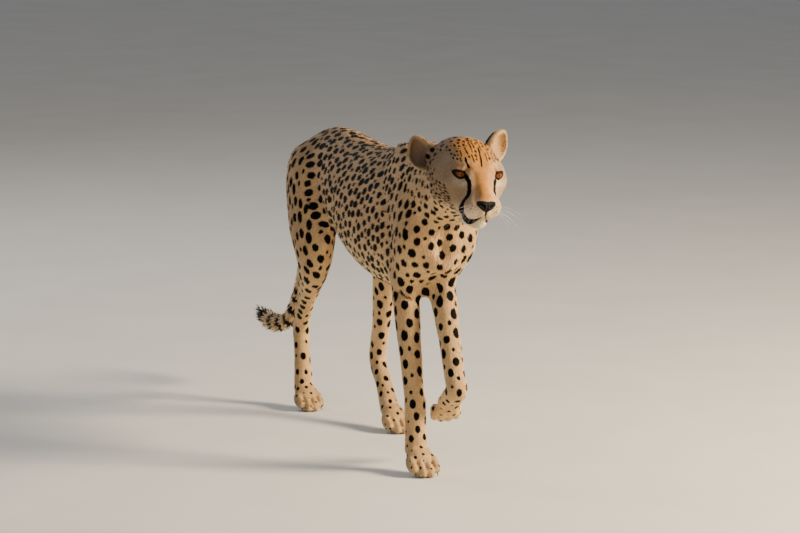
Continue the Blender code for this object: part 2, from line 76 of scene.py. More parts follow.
# Lines through the body, each from where its hair starts to where it ends: x, y, z and girth
LINES = {
    "trunk": [
        (0.008, -0.500, 0.545, 0.060),
        (0.010, -0.400, 0.560, 0.110),
        (0.008, -0.200, 0.550, 0.125),
        (0.004, 0.000, 0.550, 0.120),
        (0.000, 0.160, 0.575, 0.100),
        (-0.004, 0.300, 0.600, 0.090),
        (-0.004, 0.380, 0.600, 0.060),
    ],
    "neck": [
        (0.000, -0.640, 0.700, 0.060),
        (0.002, -0.590, 0.675, 0.062),
        (0.006, -0.530, 0.635, 0.070),
        (0.008, -0.470, 0.590, 0.080),
    ],
    "tail": [
        (-0.004, 0.345, 0.655, 0.020),
        (-0.004, 0.392, 0.610, 0.028),
        (-0.004, 0.448, 0.518, 0.022),
        (-0.004, 0.502, 0.398, 0.019),
        (-0.004, 0.562, 0.268, 0.018),
        (-0.006, 0.637, 0.190, 0.020),
        (-0.014, 0.717, 0.166, 0.023),
        (-0.024, 0.780, 0.170, 0.022),
        (-0.032, 0.828, 0.184, 0.010),
    ],
    "foreleg_left": [
        (0.060, -0.430, 0.600, 0.045),
        (0.068, -0.440, 0.533, 0.050),
        (0.040, -0.398, 0.423, 0.038),
        (0.037, -0.513, 0.194, 0.024),
        (0.050, -0.420, 0.148, 0.024),
        (0.058, -0.364, 0.114, 0.018),
    ],
    "foreleg_right": [
        (-0.045, -0.430, 0.600, 0.045),
        (-0.050, -0.440, 0.533, 0.050),
        (-0.038, -0.370, 0.413, 0.038),
        (-0.031, -0.426, 0.156, 0.024),
        (-0.032, -0.438, 0.046, 0.024),
        (-0.032, -0.506, 0.012, 0.018),
    ],
    "hind_leg_left": [
        (0.058, 0.267, 0.640, 0.060),
        (0.058, 0.267, 0.603, 0.080),
        (0.078, 0.104, 0.410, 0.045),
        (0.086, 0.214, 0.150, 0.022),
        (0.079, 0.092, 0.043, 0.022),
        (0.081, 0.025, 0.012, 0.017),
    ],
    "hind_leg_right": [
        (-0.066, 0.267, 0.640, 0.060),
        (-0.066, 0.267, 0.603, 0.080),
        (-0.072, 0.210, 0.393, 0.045),
        (-0.030, 0.462, 0.203, 0.022),
        (-0.030, 0.442, 0.043, 0.022),
        (-0.031, 0.377, 0.012, 0.017),
    ],
    "head": [
        (0.000, -0.830, 0.660, 0.020),
        (0.000, -0.790, 0.680, 0.040),
        (0.000, -0.730, 0.695, 0.065),
        (0.000, -0.660, 0.700, 0.068),
    ],
}

# The coat along each line, in millimetres. Each row: share of the line, length of a tuft, its width,
# how high its end stands, radius of a spot, gap between spots, and how many times as long as wide a
# spot is.
LEG_COAT = [
    (0.00, 9.0, 1.5, 2.7, 9.6, 22.5, 1.25),
    (0.30, 8.5, 1.5, 2.5, 9.4, 24, 1.25),
    (0.55, 7.5, 1.4, 2.2, 8.0, 24, 1.30),
    (0.80, 6.5, 1.3, 1.9, 6.6, 22, 1.30),
    (0.93, 5.0, 1.2, 1.6, 4.2, 19, 1.20),
    (1.00, 4.0, 1.1, 1.2, 2.8, 17, 1.10),
]
COATS = {
    "trunk": [
        (0.00, 10.5, 1.6, 3.4, 7.6, 23, 1.15),
        (0.25, 9.0, 1.5, 2.8, 8.4, 18.5, 1.50),
        (0.60, 9.0, 1.5, 2.8, 8.4, 18.5, 1.60),
        (1.00, 9.0, 1.5, 2.8, 9.2, 20.5, 1.45),
    ],
    "neck": [(0.00, 9.0, 1.4, 2.8, 6.2, 17, 1.30), (1.00, 10.0, 1.5, 3.2, 7.6, 19, 1.30)],
    "tail": [
        (0.00, 12.0, 2.0, 4.0, 7.5, 26, 1.30),
        (0.60, 14.0, 2.1, 5.0, 7.5, 26, 1.30),
        (0.80, 24.0, 2.3, 8.0, 7.0, 26, 1.30),
        (1.00, 30.0, 2.4, 9.0, 7.0, 26, 1.30),
    ],
    **dict.fromkeys(LEGS, LEG_COAT),
    "head": [
        (0.00, 3.4, 0.8, 0.9, 2.0, 8.0, 1.2),
        (0.45, 4.2, 1.0, 1.1, 2.2, 5.2, 2.1),
        (0.75, 6.0, 1.2, 1.9, 2.8, 7.6, 1.8),
        (1.00, 8.0, 1.4, 2.6, 5.4, 16, 1.2),
    ],
}


def colour(red, green, blue):
    """A linear colour from the usual values of 0 to 255."""
    return np.array([((c / 255 + 0.055) / 1.055) ** 2.4 for c in (red, green, blue)])


TAWNY = colour(196, 158, 116)  # along the back
BUFF = colour(210, 174, 136)  # flanks
CREAM = colour(244, 214, 162)  # belly, throat and inner legs
# Honey where the body faces forward: partly the coat's own warmth, partly painted sunlight
HONEY_AND_SUNLIGHT = colour(224, 174, 112)  # chest and the fronts of the legs
GOLD = colour(208, 138, 56)  # forehead and bridge of the nose
SMOKE = colour(152, 122, 92)  # sides and back of the head
IVORY = colour(240, 216, 178)  # round the eyes and the mouth
# Inside the ears: the left painted pale as in sunlight, the right painted darker as in shade
EAR_INSIDE_SUNLIT_AND_SHADED = {LEFT: colour(216, 172, 116), RIGHT: colour(126, 100, 80)}
# Deep in each ear's cup: its dark skin, and painted shade in the hollow
EAR_HOLLOW_SKIN_AND_SHADE = colour(20, 15, 12)
BLACK = colour(8, 6, 5)


# Tools


def step_up(low, high, value):
    """0 below low, 1 above high, and smooth between them. Low may be the larger."""
    share = np.clip((value - low) / (high - low), 0, 1)
    return share * share * (3 - 2 * share)


def unit(rows):
    """Rows scaled to a length of 1."""
    return rows / np.maximum(np.linalg.norm(rows, axis=-1, keepdims=True), 1e-9)


def mixed(one, other, share):
    """Rows between one and other: one where the share is 0, other where it is 1."""
    return one + (other - one) * np.asarray(share)[..., None]


def head_matrix():
    """The head's own frame, as the solids have it."""
    turn = Matrix.Rotation(HEAD_YAW, 4, "Z")
    turn @= Matrix.Rotation(HEAD_ROLL, 4, "Y")
    turn @= Matrix.Rotation(HEAD_PITCH, 4, "X")
    eyes = [sum(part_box(f"eye_{name}"), Vector()) / 2 for name in ("left", "right")]
    middle = (eyes[0] + eyes[1]) / 2
    origin = middle - turn.to_3x3() @ EYES_MIDDLE * HEAD_SIZE
    return Matrix.Translation(origin) @ turn @ Matrix.Scale(HEAD_SIZE, 4)


def eye_matrix(side):
    """At the middle of an eyeball, not scaled: -Y is the way it looks."""
    low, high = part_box(f"eye_{SIDE_NAMES[side]}")
    turn = HEAD.to_3x3().normalized().to_4x4()
    return Matrix.Translation((low + high) / 2) @ turn @ Matrix.Rotation(side * EYE_TURN, 4, "Z")


HEAD = head_matrix()


def into(matrix, points):
    """Points in a matrix's own frame."""
    inverse = np.array(matrix.inverted())
    return points @ inverse[:3, :3].T + inverse[:3, 3]


def out_of(matrix, points):
    """Points of a matrix's own frame, back in the whole animal's."""
    matrix = np.array(matrix)
    return np.asarray(points, float) @ matrix[:3, :3].T + matrix[:3, 3]


def along(points, line):
    """The nearest place on a line through rows: its distance, share of the length, row and direction."""
    line = np.asarray(line, float)
    steps = np.linalg.norm(np.diff(line[:, :3], axis=0), axis=1)
    best = np.full(len(points), np.inf)
    share = np.zeros(len(points))
    rows = np.zeros((len(points), line.shape[1]))
    ways = np.zeros((len(points), 3))
    for i, step in enumerate(steps):
        way = line[i + 1] - line[i]
        t = np.clip((points - line[i, :3]) @ way[:3] / step**2, 0, 1)
        place = line[i] + t[:, None] * way
        far = np.linalg.norm(points - place[:, :3], axis=1)
        nearer = far < best
        best[nearer] = far[nearer]
        share[nearer] = (steps[:i].sum() + t[nearer] * step) / steps.sum()
        rows[nearer] = place[nearer]
        ways[nearer] = way[:3] / step
    return best, share, rows, ways


def new_piece(name, mesh, material):
    """A piece of the looks, on the one body."""
    piece = bpy.data.objects.new(name, mesh)
    bpy.context.scene.collection.objects.link(piece)
    if material:
        mesh.materials.append(material)
    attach(piece, "root")
    return piece


def numbers(mesh, name, values, kind="FLOAT"):
    """Keeps values, one row for each vertex, with the mesh."""
    field = {"FLOAT": "value", "FLOAT_VECTOR": "vector", "FLOAT_COLOR": "color"}[kind]
    kept = mesh.attributes.new(name, kind, "POINT")
    kept.data.foreach_set(field, np.ascontiguousarray(values, np.float32).ravel())


def mesh_from(body, name):
    """A finished mesh in place of the one being made."""
    mesh = bpy.data.meshes.new(name)
    body.to_mesh(mesh)
    body.free()
    return mesh


def points_of(mesh):
    """Where the corners of a mesh are."""
    found = np.empty(len(mesh.vertices) * 3, np.float32)
    mesh.vertices.foreach_get("co", found)
    return found.reshape(-1, 3).astype(float)


def normals_of(mesh):
    """The way the surface faces at each corner of a mesh."""
    found = np.empty(len(mesh.vertices) * 3, np.float32)
    mesh.vertex_normals.foreach_get("vector", found)
    return found.reshape(-1, 3).astype(float)


def move_to(mesh, points):
    """Moves the corners of a mesh."""
    mesh.vertices.foreach_set("co", np.ascontiguousarray(points, np.float32).ravel())
    mesh.update()


def settle(piece):
    """Applies a piece's modifiers to its mesh."""
    seen = piece.evaluated_get(bpy.context.evaluated_depsgraph_get())
    mesh = bpy.data.meshes.new_from_object(seen)
    piece.modifiers.clear()
    old, piece.data = piece.data, mesh
    bpy.data.meshes.remove(old)


def evened(mesh, values, weights, times):
    """Values, three for each vertex, averaged with their neighbours' over and over."""
    even = bpy.data.objects.new("even", mesh.copy())
    bpy.context.scene.collection.objects.link(even)
    move_to(even.data, values)
    group = even.vertex_groups.new(name="weights")
    levels = 10
    for level in range(1, levels + 1):
        chosen = np.flatnonzero(np.round(weights * levels) == level)
        group.add(chosen.tolist(), level / levels, "REPLACE")
    smooth = even.modifiers.new("smooth", "SMOOTH")
    smooth.factor = 0.5
    smooth.iterations = times
    smooth.vertex_group = group.name
    settle(even)
    found = points_of(even.data)
    bpy.data.objects.remove(even, do_unlink=True)
    return found


# The skin


def whole_flesh():
    """The flesh and eyeballs as one mesh, with the thin cuts between them filled."""
    swelling = 0.0008
    flesh = bmesh.new()
    for name in (*FLESH, "eye_left", "eye_right"):
        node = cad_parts[name].data.copy()
        move_to(node, points_of(node) + normals_of(node) * swelling)
        flesh.from_mesh(node)
        bpy.data.meshes.remove(node)
    skin = new_piece("skin", mesh_from(flesh, "skin"), None)
    remesh = skin.modifiers.new("one", "REMESH")
    remesh.mode = "VOXEL"
    remesh.voxel_size = VOXEL
    settle(skin)
    return skin


def ear_box(side, points):
    """The lowest and highest corner of an ear's box, and how far points are outside it."""
    low, high = (np.array(corner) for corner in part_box(f"ear_{SIDE_NAMES[side]}"))
    outside = np.linalg.norm(np.maximum(low - points, 0) + np.maximum(points - high, 0), axis=1)
    return low, high, outside


def ear_share(points):
    """1 on the ears and 0 elsewhere."""
    near = np.zeros(len(points))
    for side in (LEFT, RIGHT):
        near = np.maximum(near, step_up(0.008, 0.001, ear_box(side, points)[2]))
    return near


def softness(points):
    """How far the facets of the solids are smoothed away: fully on the body, little on the face."""
    soft = np.ones(len(points))
    head = along(points, LINES["head"])[0]
    soft = np.minimum(soft, 0.20 + 0.80 * step_up(0.085, 0.130, head))
    for name in LEGS:
        far = np.linalg.norm(points - np.array(LINES[name][-1][:3]), axis=1)
        soft = np.minimum(soft, 0.30 + 0.70 * step_up(0.060, 0.110, far))
    return np.minimum(soft, 1 - 0.8 * ear_share(points))


def bell(points, middle, spread):
    """1 at the middle, fading to 0 all round, over the spread on each axis."""
    return np.exp(-(((points - middle) / spread) ** 2).sum(-1))


def smooth_body(skin):
    """Rounds the facets, but keeps the muscles: what each pass took off too much is put back."""
    mesh = skin.data
    first = points_of(mesh)
    weights = softness(first)
    times = 50
    now = evened(mesh, first, weights, times)
    for _ in range(3):
        now += evened(mesh, first - now, weights, times)
    # The dip between forehead and bridge is a plain saddle
    dip = bell(into(HEAD, now), (0, -0.036, 0.004), (0.024, 0.018, 0.016))
    move_to(mesh, evened(mesh, now, dip, 40))


def lighten(skin):
    """Fewer triangles on the body, where the shape is plain, and all of them on head and paws."""
    points = points_of(skin.data)
    keep = softness(points) < 0.75
    group = skin.vertex_groups.new(name="plain")
    group.add(np.flatnonzero(~keep).tolist(), 1.0, "REPLACE")
    triangles = sum(len(face.vertices) - 2 for face in skin.data.polygons)
    thin = skin.modifiers.new("thin", "DECIMATE")
    thin.ratio = min(1.0, SKIN_TRIANGLES / triangles)
    thin.vertex_group = group.name
    settle(skin)
    skin.vertex_groups.clear()


def split_long(skin, longest):
    """Splits the long edges of flat parts, so that markings keep their shape on them."""
    body = bmesh.new()
    body.from_mesh(skin.data)
    for _ in range(8):
        edges = [edge for edge in body.edges if edge.calc_length() > longest]
        if not edges:
            break
        bmesh.ops.subdivide_edges(body, edges=edges, cuts=1)
        bmesh.ops.triangulate(body, faces=[face for face in body.faces if len(face.verts) > 3])
    body.to_mesh(skin.data)
    body.free()


def refine(skin, chosen):
    """Splits each chosen face in four."""
    body = bmesh.new()
    body.from_mesh(skin.data)
    body.faces.ensure_lookup_table()
    middles = np.array([face.calc_center_median() for face in body.faces])
    faces = [body.faces[i] for i in np.flatnonzero(chosen(into(HEAD, middles)))]
    edges = list({edge for face in faces for edge in face.edges})
    bmesh.ops.subdivide_edges(body, edges=edges, cuts=1, use_grid_fill=True)
    body.to_mesh(skin.data)
    body.free()


def on_face(points):
    """From the brow and the cheekbones forward."""
    return (points[:, 1] < 0.006) & (points[:, 2] < 0.045)


def by_features(points):
    """Round the eyes, the nose and the mouth."""
    eyes = np.hypot(np.abs(points[:, 0]) - 0.037, points[:, 2]) < 0.027
    mouth = (points[:, 1] < -0.024) & (points[:, 2] < -0.036)
    return (eyes & (points[:, 1] < 0.004)) | mouth


def both_sides(path):
    """A path in millimetres, in metres on the left and on the right."""
    path = np.array(path, float) * MM
    return [path, path * (-1, 1, 1)]


# Furrows of the face in the head's frame, in millimetres: path on the left, width and depth.
# A depth below 0 is a ridge.
MOUTH = [(2, -78, -76), (6, -70, -82), (12, -60, -88), (20, -48, -88), (28, -42, -79), (34, -38, -71)]
FURROWS = [
    ([(0, -92, -46), (0, -91, -58), (0, -84, -70)], 1.6, 1.6),  # philtrum
    ([(21, -78, -46), (17, -85, -56), (8, -90, -62), (0, -90, -62)], 2.2, 1.6),  # under the nose
    ([(0, -78, -38), (12, -80, -39), (20, -77, -43)], 2.2, 1.0),  # over the nose
    (MOUTH, 3.6, 5.0),
    ([(5, -84, -69), (13, -76, -74), (20, -64, -78), (28, -52, -74)], 5.0, -1.6),  # upper lip
    ([(0, -60, -98), (10, -56, -97)], 8.0, -1.5),  # chin
    ([(24, -40, 13), (37, -30, 18), (52, -14, 15)], 4.0, 1.3),  # crease of the upper lid
    ([(22, -36, 24), (36, -24, 28), (52, -8, 24)], 9.0, -2.2),  # brow
    ([(26, -42, -12), (38, -32, -17), (52, -15, -10)], 5.0, 1.0),  # under the eye
    ([(17, -48, 2), (17, -62, -18), (20, -72, -34)], 7.0, 1.8),  # beside the bridge
    ([(0, 5, 44), (0, -30, 24)], 8.0, 1.2),  # middle of the forehead
    ([(46, -24, -22), (60, -4, -18), (66, 20, -16)], 12.0, -2.2),  # cheekbone
    ([(60, 20, 22), (64, 45, 28)], 14.0, 1.6),  # temple
]
NOSTRIL = ([(7, -91, -51), (10, -90, -50), (14.5, -86, -47.5)], 2.6, 4.5)


def stroke(points, normals, path, width, depth):
    """Presses a soft groove into the points along a path."""
    far = along(points, path)[0]
    return points - normals * (depth * np.exp(-((far / width) ** 2)))[:, None]


def carve(skin, place, strokes):
    """Presses strokes into the skin, in a place's own frame: each a path, its width and its depth."""
    mesh = skin.data
    points, normals = into(place, points_of(mesh)), normals_of(mesh)
    normals = unit(normals @ np.array(place.to_3x3()))
    for path, width, depth in strokes:
        points = stroke(points, normals, path, width * MM, depth * MM)
    move_to(mesh, out_of(place, points))


def face_strokes(furrows):
    """The furrows on both sides of the face, and those down its middle once."""
    found = []
    for path, width, depth in furrows:
        paths = both_sides(path)
        if not paths[0][:, 0].any():
            paths = paths[:1]
        found += [(side_path, width, depth) for side_path in paths]
    return found


# Folds of the body, in millimetres: path on the right, width and depth
SHOULDER = [(-40, -200, 690), (-58, -280, 645), (-70, -345, 590), (-74, -385, 505), (-71, -389, 449)]
BODY_FOLDS = [
    (SHOULDER, 17, 5.0),
    ([(-62, -392, 404), (-50, -407, 390), (-33, -411, 384), (-8, -413, 390)], 9, 5.0),  # elbow's bend
    ([(-88, 20, 560), (-80, 60, 505), (-74, 80, 485)], 15, 5.0),  # flank
    ([(-84, 160, 600), (-79, 139, 544), (-70, 133, 490)], 15, 4.0),  # front of the thigh
]
CHEST_FOLD = ([(4, -540, 560), (6, -512, 515), (6, -487, 480), (8, -464, 440), (9, -430, 405)], 17, 14.0)
CHEST_MIDDLE = 0.005  # how far to the left the middle of the chest is
# Clefts between toes, over the paw: forward and up from the toes' tips
CLEFT = [(0.009, 0.004), (-0.002, 0.010), (-0.018, 0.013)]


def body_strokes():
    """The folds on both sides of the body, the one down its chest, and the clefts between the toes."""
    found = [(np.array(CHEST_FOLD[0], float) * MM, *CHEST_FOLD[1:])]
    for path, width, depth in BODY_FOLDS:
        path = np.array(path, float) * MM
        found += [(path, width, depth), (path * (-1, 1, 1) + (2 * CHEST_MIDDLE, 0, 0), width, depth)]
    tips = toe_tips()
    for i in range(len(tips) - 1):
        (tip, forward, sole), (beside, _, _) = tips[i : i + 2]
        if (i + 1) % len(TOES):
            between = (tip + beside) / 2
            path = np.array([between + forward * ahead - sole * over for ahead, over in CLEFT])
            found.append((path, 3.4, 4.5))
    return found


# Eyes and lids. Places round an eye are two angles, outward and up, measured in metres on its ball.

CORNER_IN, CORNER_OUT = -0.0165, 0.0168
OVER, UNDER = 0.0054, 0.0072  # how far the lids swell from the line between the corners
LID_STEPS = 40
LID_DEPTH = 0.0006  # of the lids over the ball
SUNK = 0.0035  # depth of the skin inside the ball, where the eye is open


def lid_line():
    """The edge of the lids, once round: a nearly straight upper lid over a curved lower one."""
    across = 0.5 - 0.5 * np.cos(np.linspace(0, math.pi, LID_STEPS))
    corners = -0.0026 + 0.0044 * across
    swell = 4 * across * (1 - across)
    over = corners + OVER * swell**0.55
    under = corners - UNDER * swell**0.75
    out = CORNER_IN + (CORNER_OUT - CORNER_IN) * across
    upper = np.stack([out, over], 1)
    lower = np.stack([out, under], 1)[::-1]
    return np.concatenate([upper, lower[1:-1]])


def on_ball(angles, reach):
    """Points at a reach from the middle of an eye, from places on its ball."""
    out, up = angles[:, 0] / EYE_RADIUS, angles[:, 1] / EYE_RADIUS
    ways = np.stack([np.sin(out) * np.cos(up), -np.cos(out) * np.cos(up), np.sin(up)], 1)
    return ways * np.asarray(reach)[..., None]


def from_ball(points):
    """Places on an eye's ball, and the reach from its middle, of points in the eye's frame."""
    reach = np.linalg.norm(points, axis=1)
    up = np.arcsin(np.clip(points[:, 2] / reach, -1, 1))
    out = np.arctan2(points[:, 0], -points[:, 1])
    return np.stack([out, up], 1) * EYE_RADIUS, reach


def inside_line(places, line):
    """How far places in a plane are from a closed line, and below 0 inside it."""
    closed = np.concatenate([line, line[:1]])
    flat = np.concatenate([places, np.zeros((len(places), 1))], 1)
    edge = np.concatenate([closed, np.zeros((len(closed), 1))], 1)
    far = along(flat, edge)[0]
    within = np.zeros(len(places), bool)
    for (x0, y0), (x1, y1) in zip(closed, closed[1:]):
        crosses = (y0 > places[:, 1]) != (y1 > places[:, 1])
        if y0 != y1:
            at = x0 + (places[:, 1] - y0) / (y1 - y0) * (x1 - x0)
            within ^= crosses & (places[:, 0] < at)
    return np.where(within, -far, far)


def side_of_eye(side, points):
    """The same points for the left eye's shape: mirrored on the right."""
    return points * ((1, 1, 1) if side == LEFT else (-1, 1, 1))


def round_eye(side, points, within, ahead):
    """Which points are near an eye; and their places on its ball, reach and distance from the lids."""
    eye = side_of_eye(side, into(eye_matrix(side), points))
    near = (np.linalg.norm(eye, axis=1) < within) & (eye[:, 1] < ahead)
    angles, reach = from_ball(eye[near])
    return near, angles, reach, inside_line(angles, lid_line())


def shape_lids(skin):
    """Lays the skin over the eyeballs as lids, and sinks it out of sight where they are open."""
    mesh = skin.data
    points = points_of(mesh)
    loose = np.zeros(len(points))
    for side in (LEFT, RIGHT):
        near, angles, reach, edge = round_eye(side, points, 0.060, 0.004)
        # Skin further out than this, as on the bridge of the nose, isn't part of the lids
        by_eye = step_up(EYE_RADIUS + 0.016, EYE_RADIUS + 0.008, reach)
        highest = EYE_RADIUS + LID_DEPTH + 0.0002 + 0.60 * np.maximum(edge - 0.0035, 0)
        held = np.clip(reach, EYE_RADIUS + LID_DEPTH, highest)
        reach = reach + (held - reach) * step_up(0.0180, 0.0060, edge) * by_eye
        loose[near] = step_up(0.0030, 0.0060, edge) * step_up(0.026, 0.020, edge) * by_eye
        open_eye = step_up(0.0014, 0.0002, edge)
        reach = reach + (EYE_RADIUS - SUNK - reach) * open_eye * by_eye
        points[near] = out_of(eye_matrix(side), side_of_eye(side, on_ball(angles, reach)))
    move_to(mesh, evened(mesh, points, loose, 16))


# Across the rim of a lid, in millimetres: outward from its edge, and over the eyeball
LID_BAND = [(-0.8, -1.4), (-0.4, 0.2), (0, 0.7), (0.5, 1.1), (1.2, 1.3), (2, 1.3), (3, 0.8), (4.2, -0.6)]


def add_lids(side, material):
    """The bare dark rims of the lids: a rounded band over the edge of the opening."""
    line = lid_line()
    after = np.roll(line, -1, 0) - np.roll(line, 1, 0)
    outward = unit(np.stack([-after[:, 1], after[:, 0]], 1))
    rings = []
    slim = (0.60 + 0.40 * step_up(-0.003, 0.001, line[:, 1]))[:, None]
    for off, rise in LID_BAND:
        reach = np.full(len(line), EYE_RADIUS + rise * MM)
        rings.append(on_ball(line + outward * off * slim * MM, reach))
    points = np.concatenate(rings)
    points = out_of(eye_matrix(side), side_of_eye(side, points))
    count = len(line)
    faces = []
    for ring in range(len(rings)):
        below = (ring + 1) % len(rings)
        for i in range(count):
            j = (i + 1) % count
            face = (ring * count + i, ring * count + j, below * count + j, below * count + i)
            faces.append(face if side == LEFT else face[::-1])
    mesh = bpy.data.meshes.new(f"lids_{SIDE_NAMES[side]}")
    mesh.from_pydata(points.tolist(), [], faces)
    mesh.shade_smooth()
    new_piece(mesh.name, mesh, material)


# Where the eyes look: a little to the animal's left, and level
GAZE_LEFT = math.radians(5)


def add_eyeball(side, material):
    """A ball with the cornea's bulge, whose iris is drawn from its kept numbers."""
    name = SIDE_NAMES[side]
    ball = bmesh.new()
    bmesh.ops.create_uvsphere(ball, u_segments=96, v_segments=72, radius=1)
    mesh = mesh_from(ball, f"eyeball_{name}")
    ways = points_of(mesh)
    tilt = np.arccos(np.clip(ways[:, 2], -1, 1))
    bulge = 0.0010 * step_up(0.66, 0.30, tilt)
    numbers(mesh, "tilt", tilt * EYE_RADIUS / MM)
    ring = unit(ways[:, :2])
    numbers(mesh, "rays", np.stack([ring[:, 0] * 3, ring[:, 1] * 3, tilt * 1.2], 1), "FLOAT_VECTOR")
    ball_points = ways * (EYE_RADIUS - 0.0004 + bulge)[:, None]
    gaze = Matrix.Rotation(GAZE_LEFT, 4, "Z")
    place = eye_matrix(side) @ gaze @ Matrix.Rotation(math.pi / 2, 4, "X")
    move_to(mesh, out_of(place, ball_points))
    angles, _ = from_ball(side_of_eye(side, into(eye_matrix(side), points_of(mesh))))
    # Painted shadow of the lids on the ball: darkest near and under the lid's edge
    depth = -inside_line(angles - (0, 0.0012), lid_line())
    numbers(mesh, "lid_shadow", step_up(0.0034, 0.0008, depth))
    mesh.shade_smooth()
    eye = new_piece(f"eyeball_{name}", mesh, material)
    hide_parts(f"eye_{name}")


# The coat's measures all over the skin


def line_shares(points):
    """How much each line of the body rules each point, and what along() finds for each line."""
    found = {name: along(points, line) for name, line in LINES.items()}
    nearness = np.stack(
        [1 / (np.maximum(far - rows[:, 3], 0) + 0.006) ** 3 for far, _, rows, _ in found.values()], 1
    )
    return nearness / nearness.sum(1, keepdims=True), found


def coat_measures(points, shares, found):
    """Six numbers at each point: what a row of COATS gives after its share, with lengths in metres."""
    measures = np.zeros((len(points), 6))
    for i, name in enumerate(LINES):
        table = np.array(COATS[name])
        for k in range(6):
            measures[:, k] += shares[:, i] * np.interp(found[name][1], table[:, 0], table[:, k + 1])
    measures[:, :5] *= MM
    return measures


def lie_of_coat(points, normals, shares, found):
    """The way the hair lies: back from the nose, down the legs, back and a little down the flanks."""
    local = into(HEAD, points)
    from_nose = unit(local - np.array((0, -0.086, -0.044))) @ np.array(HEAD.to_3x3().normalized()).T
    ways = np.zeros((len(points), 3))
    for i, name in enumerate(LINES):
        way = found[name][3].copy()
        if name == "trunk":
            way[:, 2] -= 0.45 * np.abs(normals[:, 0]) + 1.5 * step_up(-0.40, -0.49, points[:, 1])
        if name == "head":
            way = from_nose
        ways += shares[:, i, None] * way
    for side in (LEFT, RIGHT):
        low, high, outside = ear_box(side, points)
        foot = (low + high) / 2 - np.array((side * 0.020, 0, 0.030))
        ways = mixed(ways, unit(points - foot), step_up(0.006, 0.001, outside))
    ways -= normals * (ways * normals).sum(1, keepdims=True)
    return unit(ways)


def body_tone(points, normals, shares, head):
    """The coat's colour on the body: paler underneath, inside the legs and down their length, and honey in
    front, partly painted sunlight.
    """
    names = list(LINES)
    trunk = shares[:, names.index("trunk")] + shares[:, names.index("tail")]
    legs = [names.index(name) for name in LEGS]
    forward, up = normals[:, 1], normals[:, 2]
    tone = mixed(BUFF + np.zeros((len(points), 3)), TAWNY, step_up(0.25, 0.95, up) * (1 - head))
    tone = mixed(tone, CREAM, step_up(0.05, -0.75, up) * (1 - 0.5 * head))
    tone = mixed(tone, CREAM, 0.55 * step_up(0.56, 0.40, points[:, 2]) * trunk)
    leg_low = step_up(0.46, 0.28, points[:, 2])
    leg = np.clip(shares[:, legs].sum(1) * (0.15 + 0.40 * leg_low), 0, 1)
    tone = mixed(tone, CREAM, leg * step_up(0.6, -0.3, forward))
    inner = np.zeros(len(points))
    for i in legs:
        side = LEFT if "left" in names[i] else RIGHT
        inner = np.maximum(inner, shares[:, i] * step_up(0.1, 0.9, -side * normals[:, 0]))
    tone = mixed(tone, CREAM, 0.85 * inner)
    chest = step_up(-0.46, -0.52, points[:, 1]) * step_up(0.62, 0.52, points[:, 2]) * (1 - head)
    tone = mixed(tone, CREAM, 0.40 * chest * step_up(0.2, -0.6, forward))
    # Honey on what faces forward: the coat's own warmth, and painted sunlight from the front
    return mixed(tone, HONEY_AND_SUNLIGHT, 0.60 * step_up(0.25, -0.60, forward) * (1 - head))


def face_tone(local, tone, face):
    """The head's colour over the body's: grey-brown sides, a golden crown and bridge, a pale mouth."""
    x, y, z = np.abs(local[:, 0]), local[:, 1], local[:, 2]
    back = step_up(0.0, 0.05, y) * step_up(-0.05, 0.0, z)
    tone = mixed(tone, SMOKE, 0.55 * face * back)
    tone = mixed(tone, SMOKE, 0.75 * face * step_up(0.012, 0.046, x) * step_up(-0.080, -0.055, z))
    brow = step_up(-0.010, 0.018, z) * step_up(0.056, 0.020, x) * step_up(0.070, 0.040, y)
    bridge = step_up(0.026, 0.007, x) * step_up(-0.046, -0.034, z)
    tone = mixed(tone, GOLD, 0.85 * face * np.maximum(brow, bridge * step_up(0.04, -0.01, y)))
    front = np.stack([x, z], 1)
    under_eye = bell(front, (0.040, -0.016), (0.014, 0.008)) * step_up(0.010, -0.010, y)
    over_eye = bell(front, (0.030, 0.019), (0.013, 0.006)) * step_up(0.000, -0.015, y)
    muzzle = step_up(-0.050, -0.066, z) * step_up(-0.010, -0.035, y)
    chin = step_up(-0.080, -0.090, z)
    pad = bell(np.stack([z, y], 1), (-0.060, -0.072), (0.016, 0.022))
    pale = 0.55 * under_eye + 0.27 * over_eye + 0.30 * muzzle + 0.8 * chin + 0.15 * pad
    return mixed(tone, IVORY, face * np.clip(pale, 0, 0.95))


def base_tone(points, normals, shares):
    """The coat's own colour under its spots."""
    local = into(HEAD, points)
    head = shares[:, list(LINES).index("head")]
    tone = body_tone(points, normals, shares, head)
    tone = face_tone(local, tone, step_up(0.45, 0.8, head))
    ears = ear_share(points)
    for side in (LEFT, RIGHT):
        own = ears * (side * local[:, 0] > 0)
        # Each ear's inside in its own colour: painted sunlight on the left, painted shade on the right
        tone = mixed(tone, EAR_INSIDE_SUNLIT_AND_SHADED[side], 0.85 * own * step_up(-0.1, -0.7, normals[:, 1]))
        # Near black low in each ear's cup: dark skin, and painted shade in the hollow
        hollow_skin_and_shade = EARS[side] + np.array((-side * 9, -16, -14)) * MM
        tone = mixed(tone, EAR_HOLLOW_SKIN_AND_SHADE, 0.97 * own * bell(local, hollow_skin_and_shade, (0.012, 0.020, 0.019)))
    return tone


# Markings: each is a distance from its edge, below 0 inside it, so that the darkest wins.
# The face's lines and the spots are laid on the finished skin, and kept here for skin and coat alike.
LAID = {}

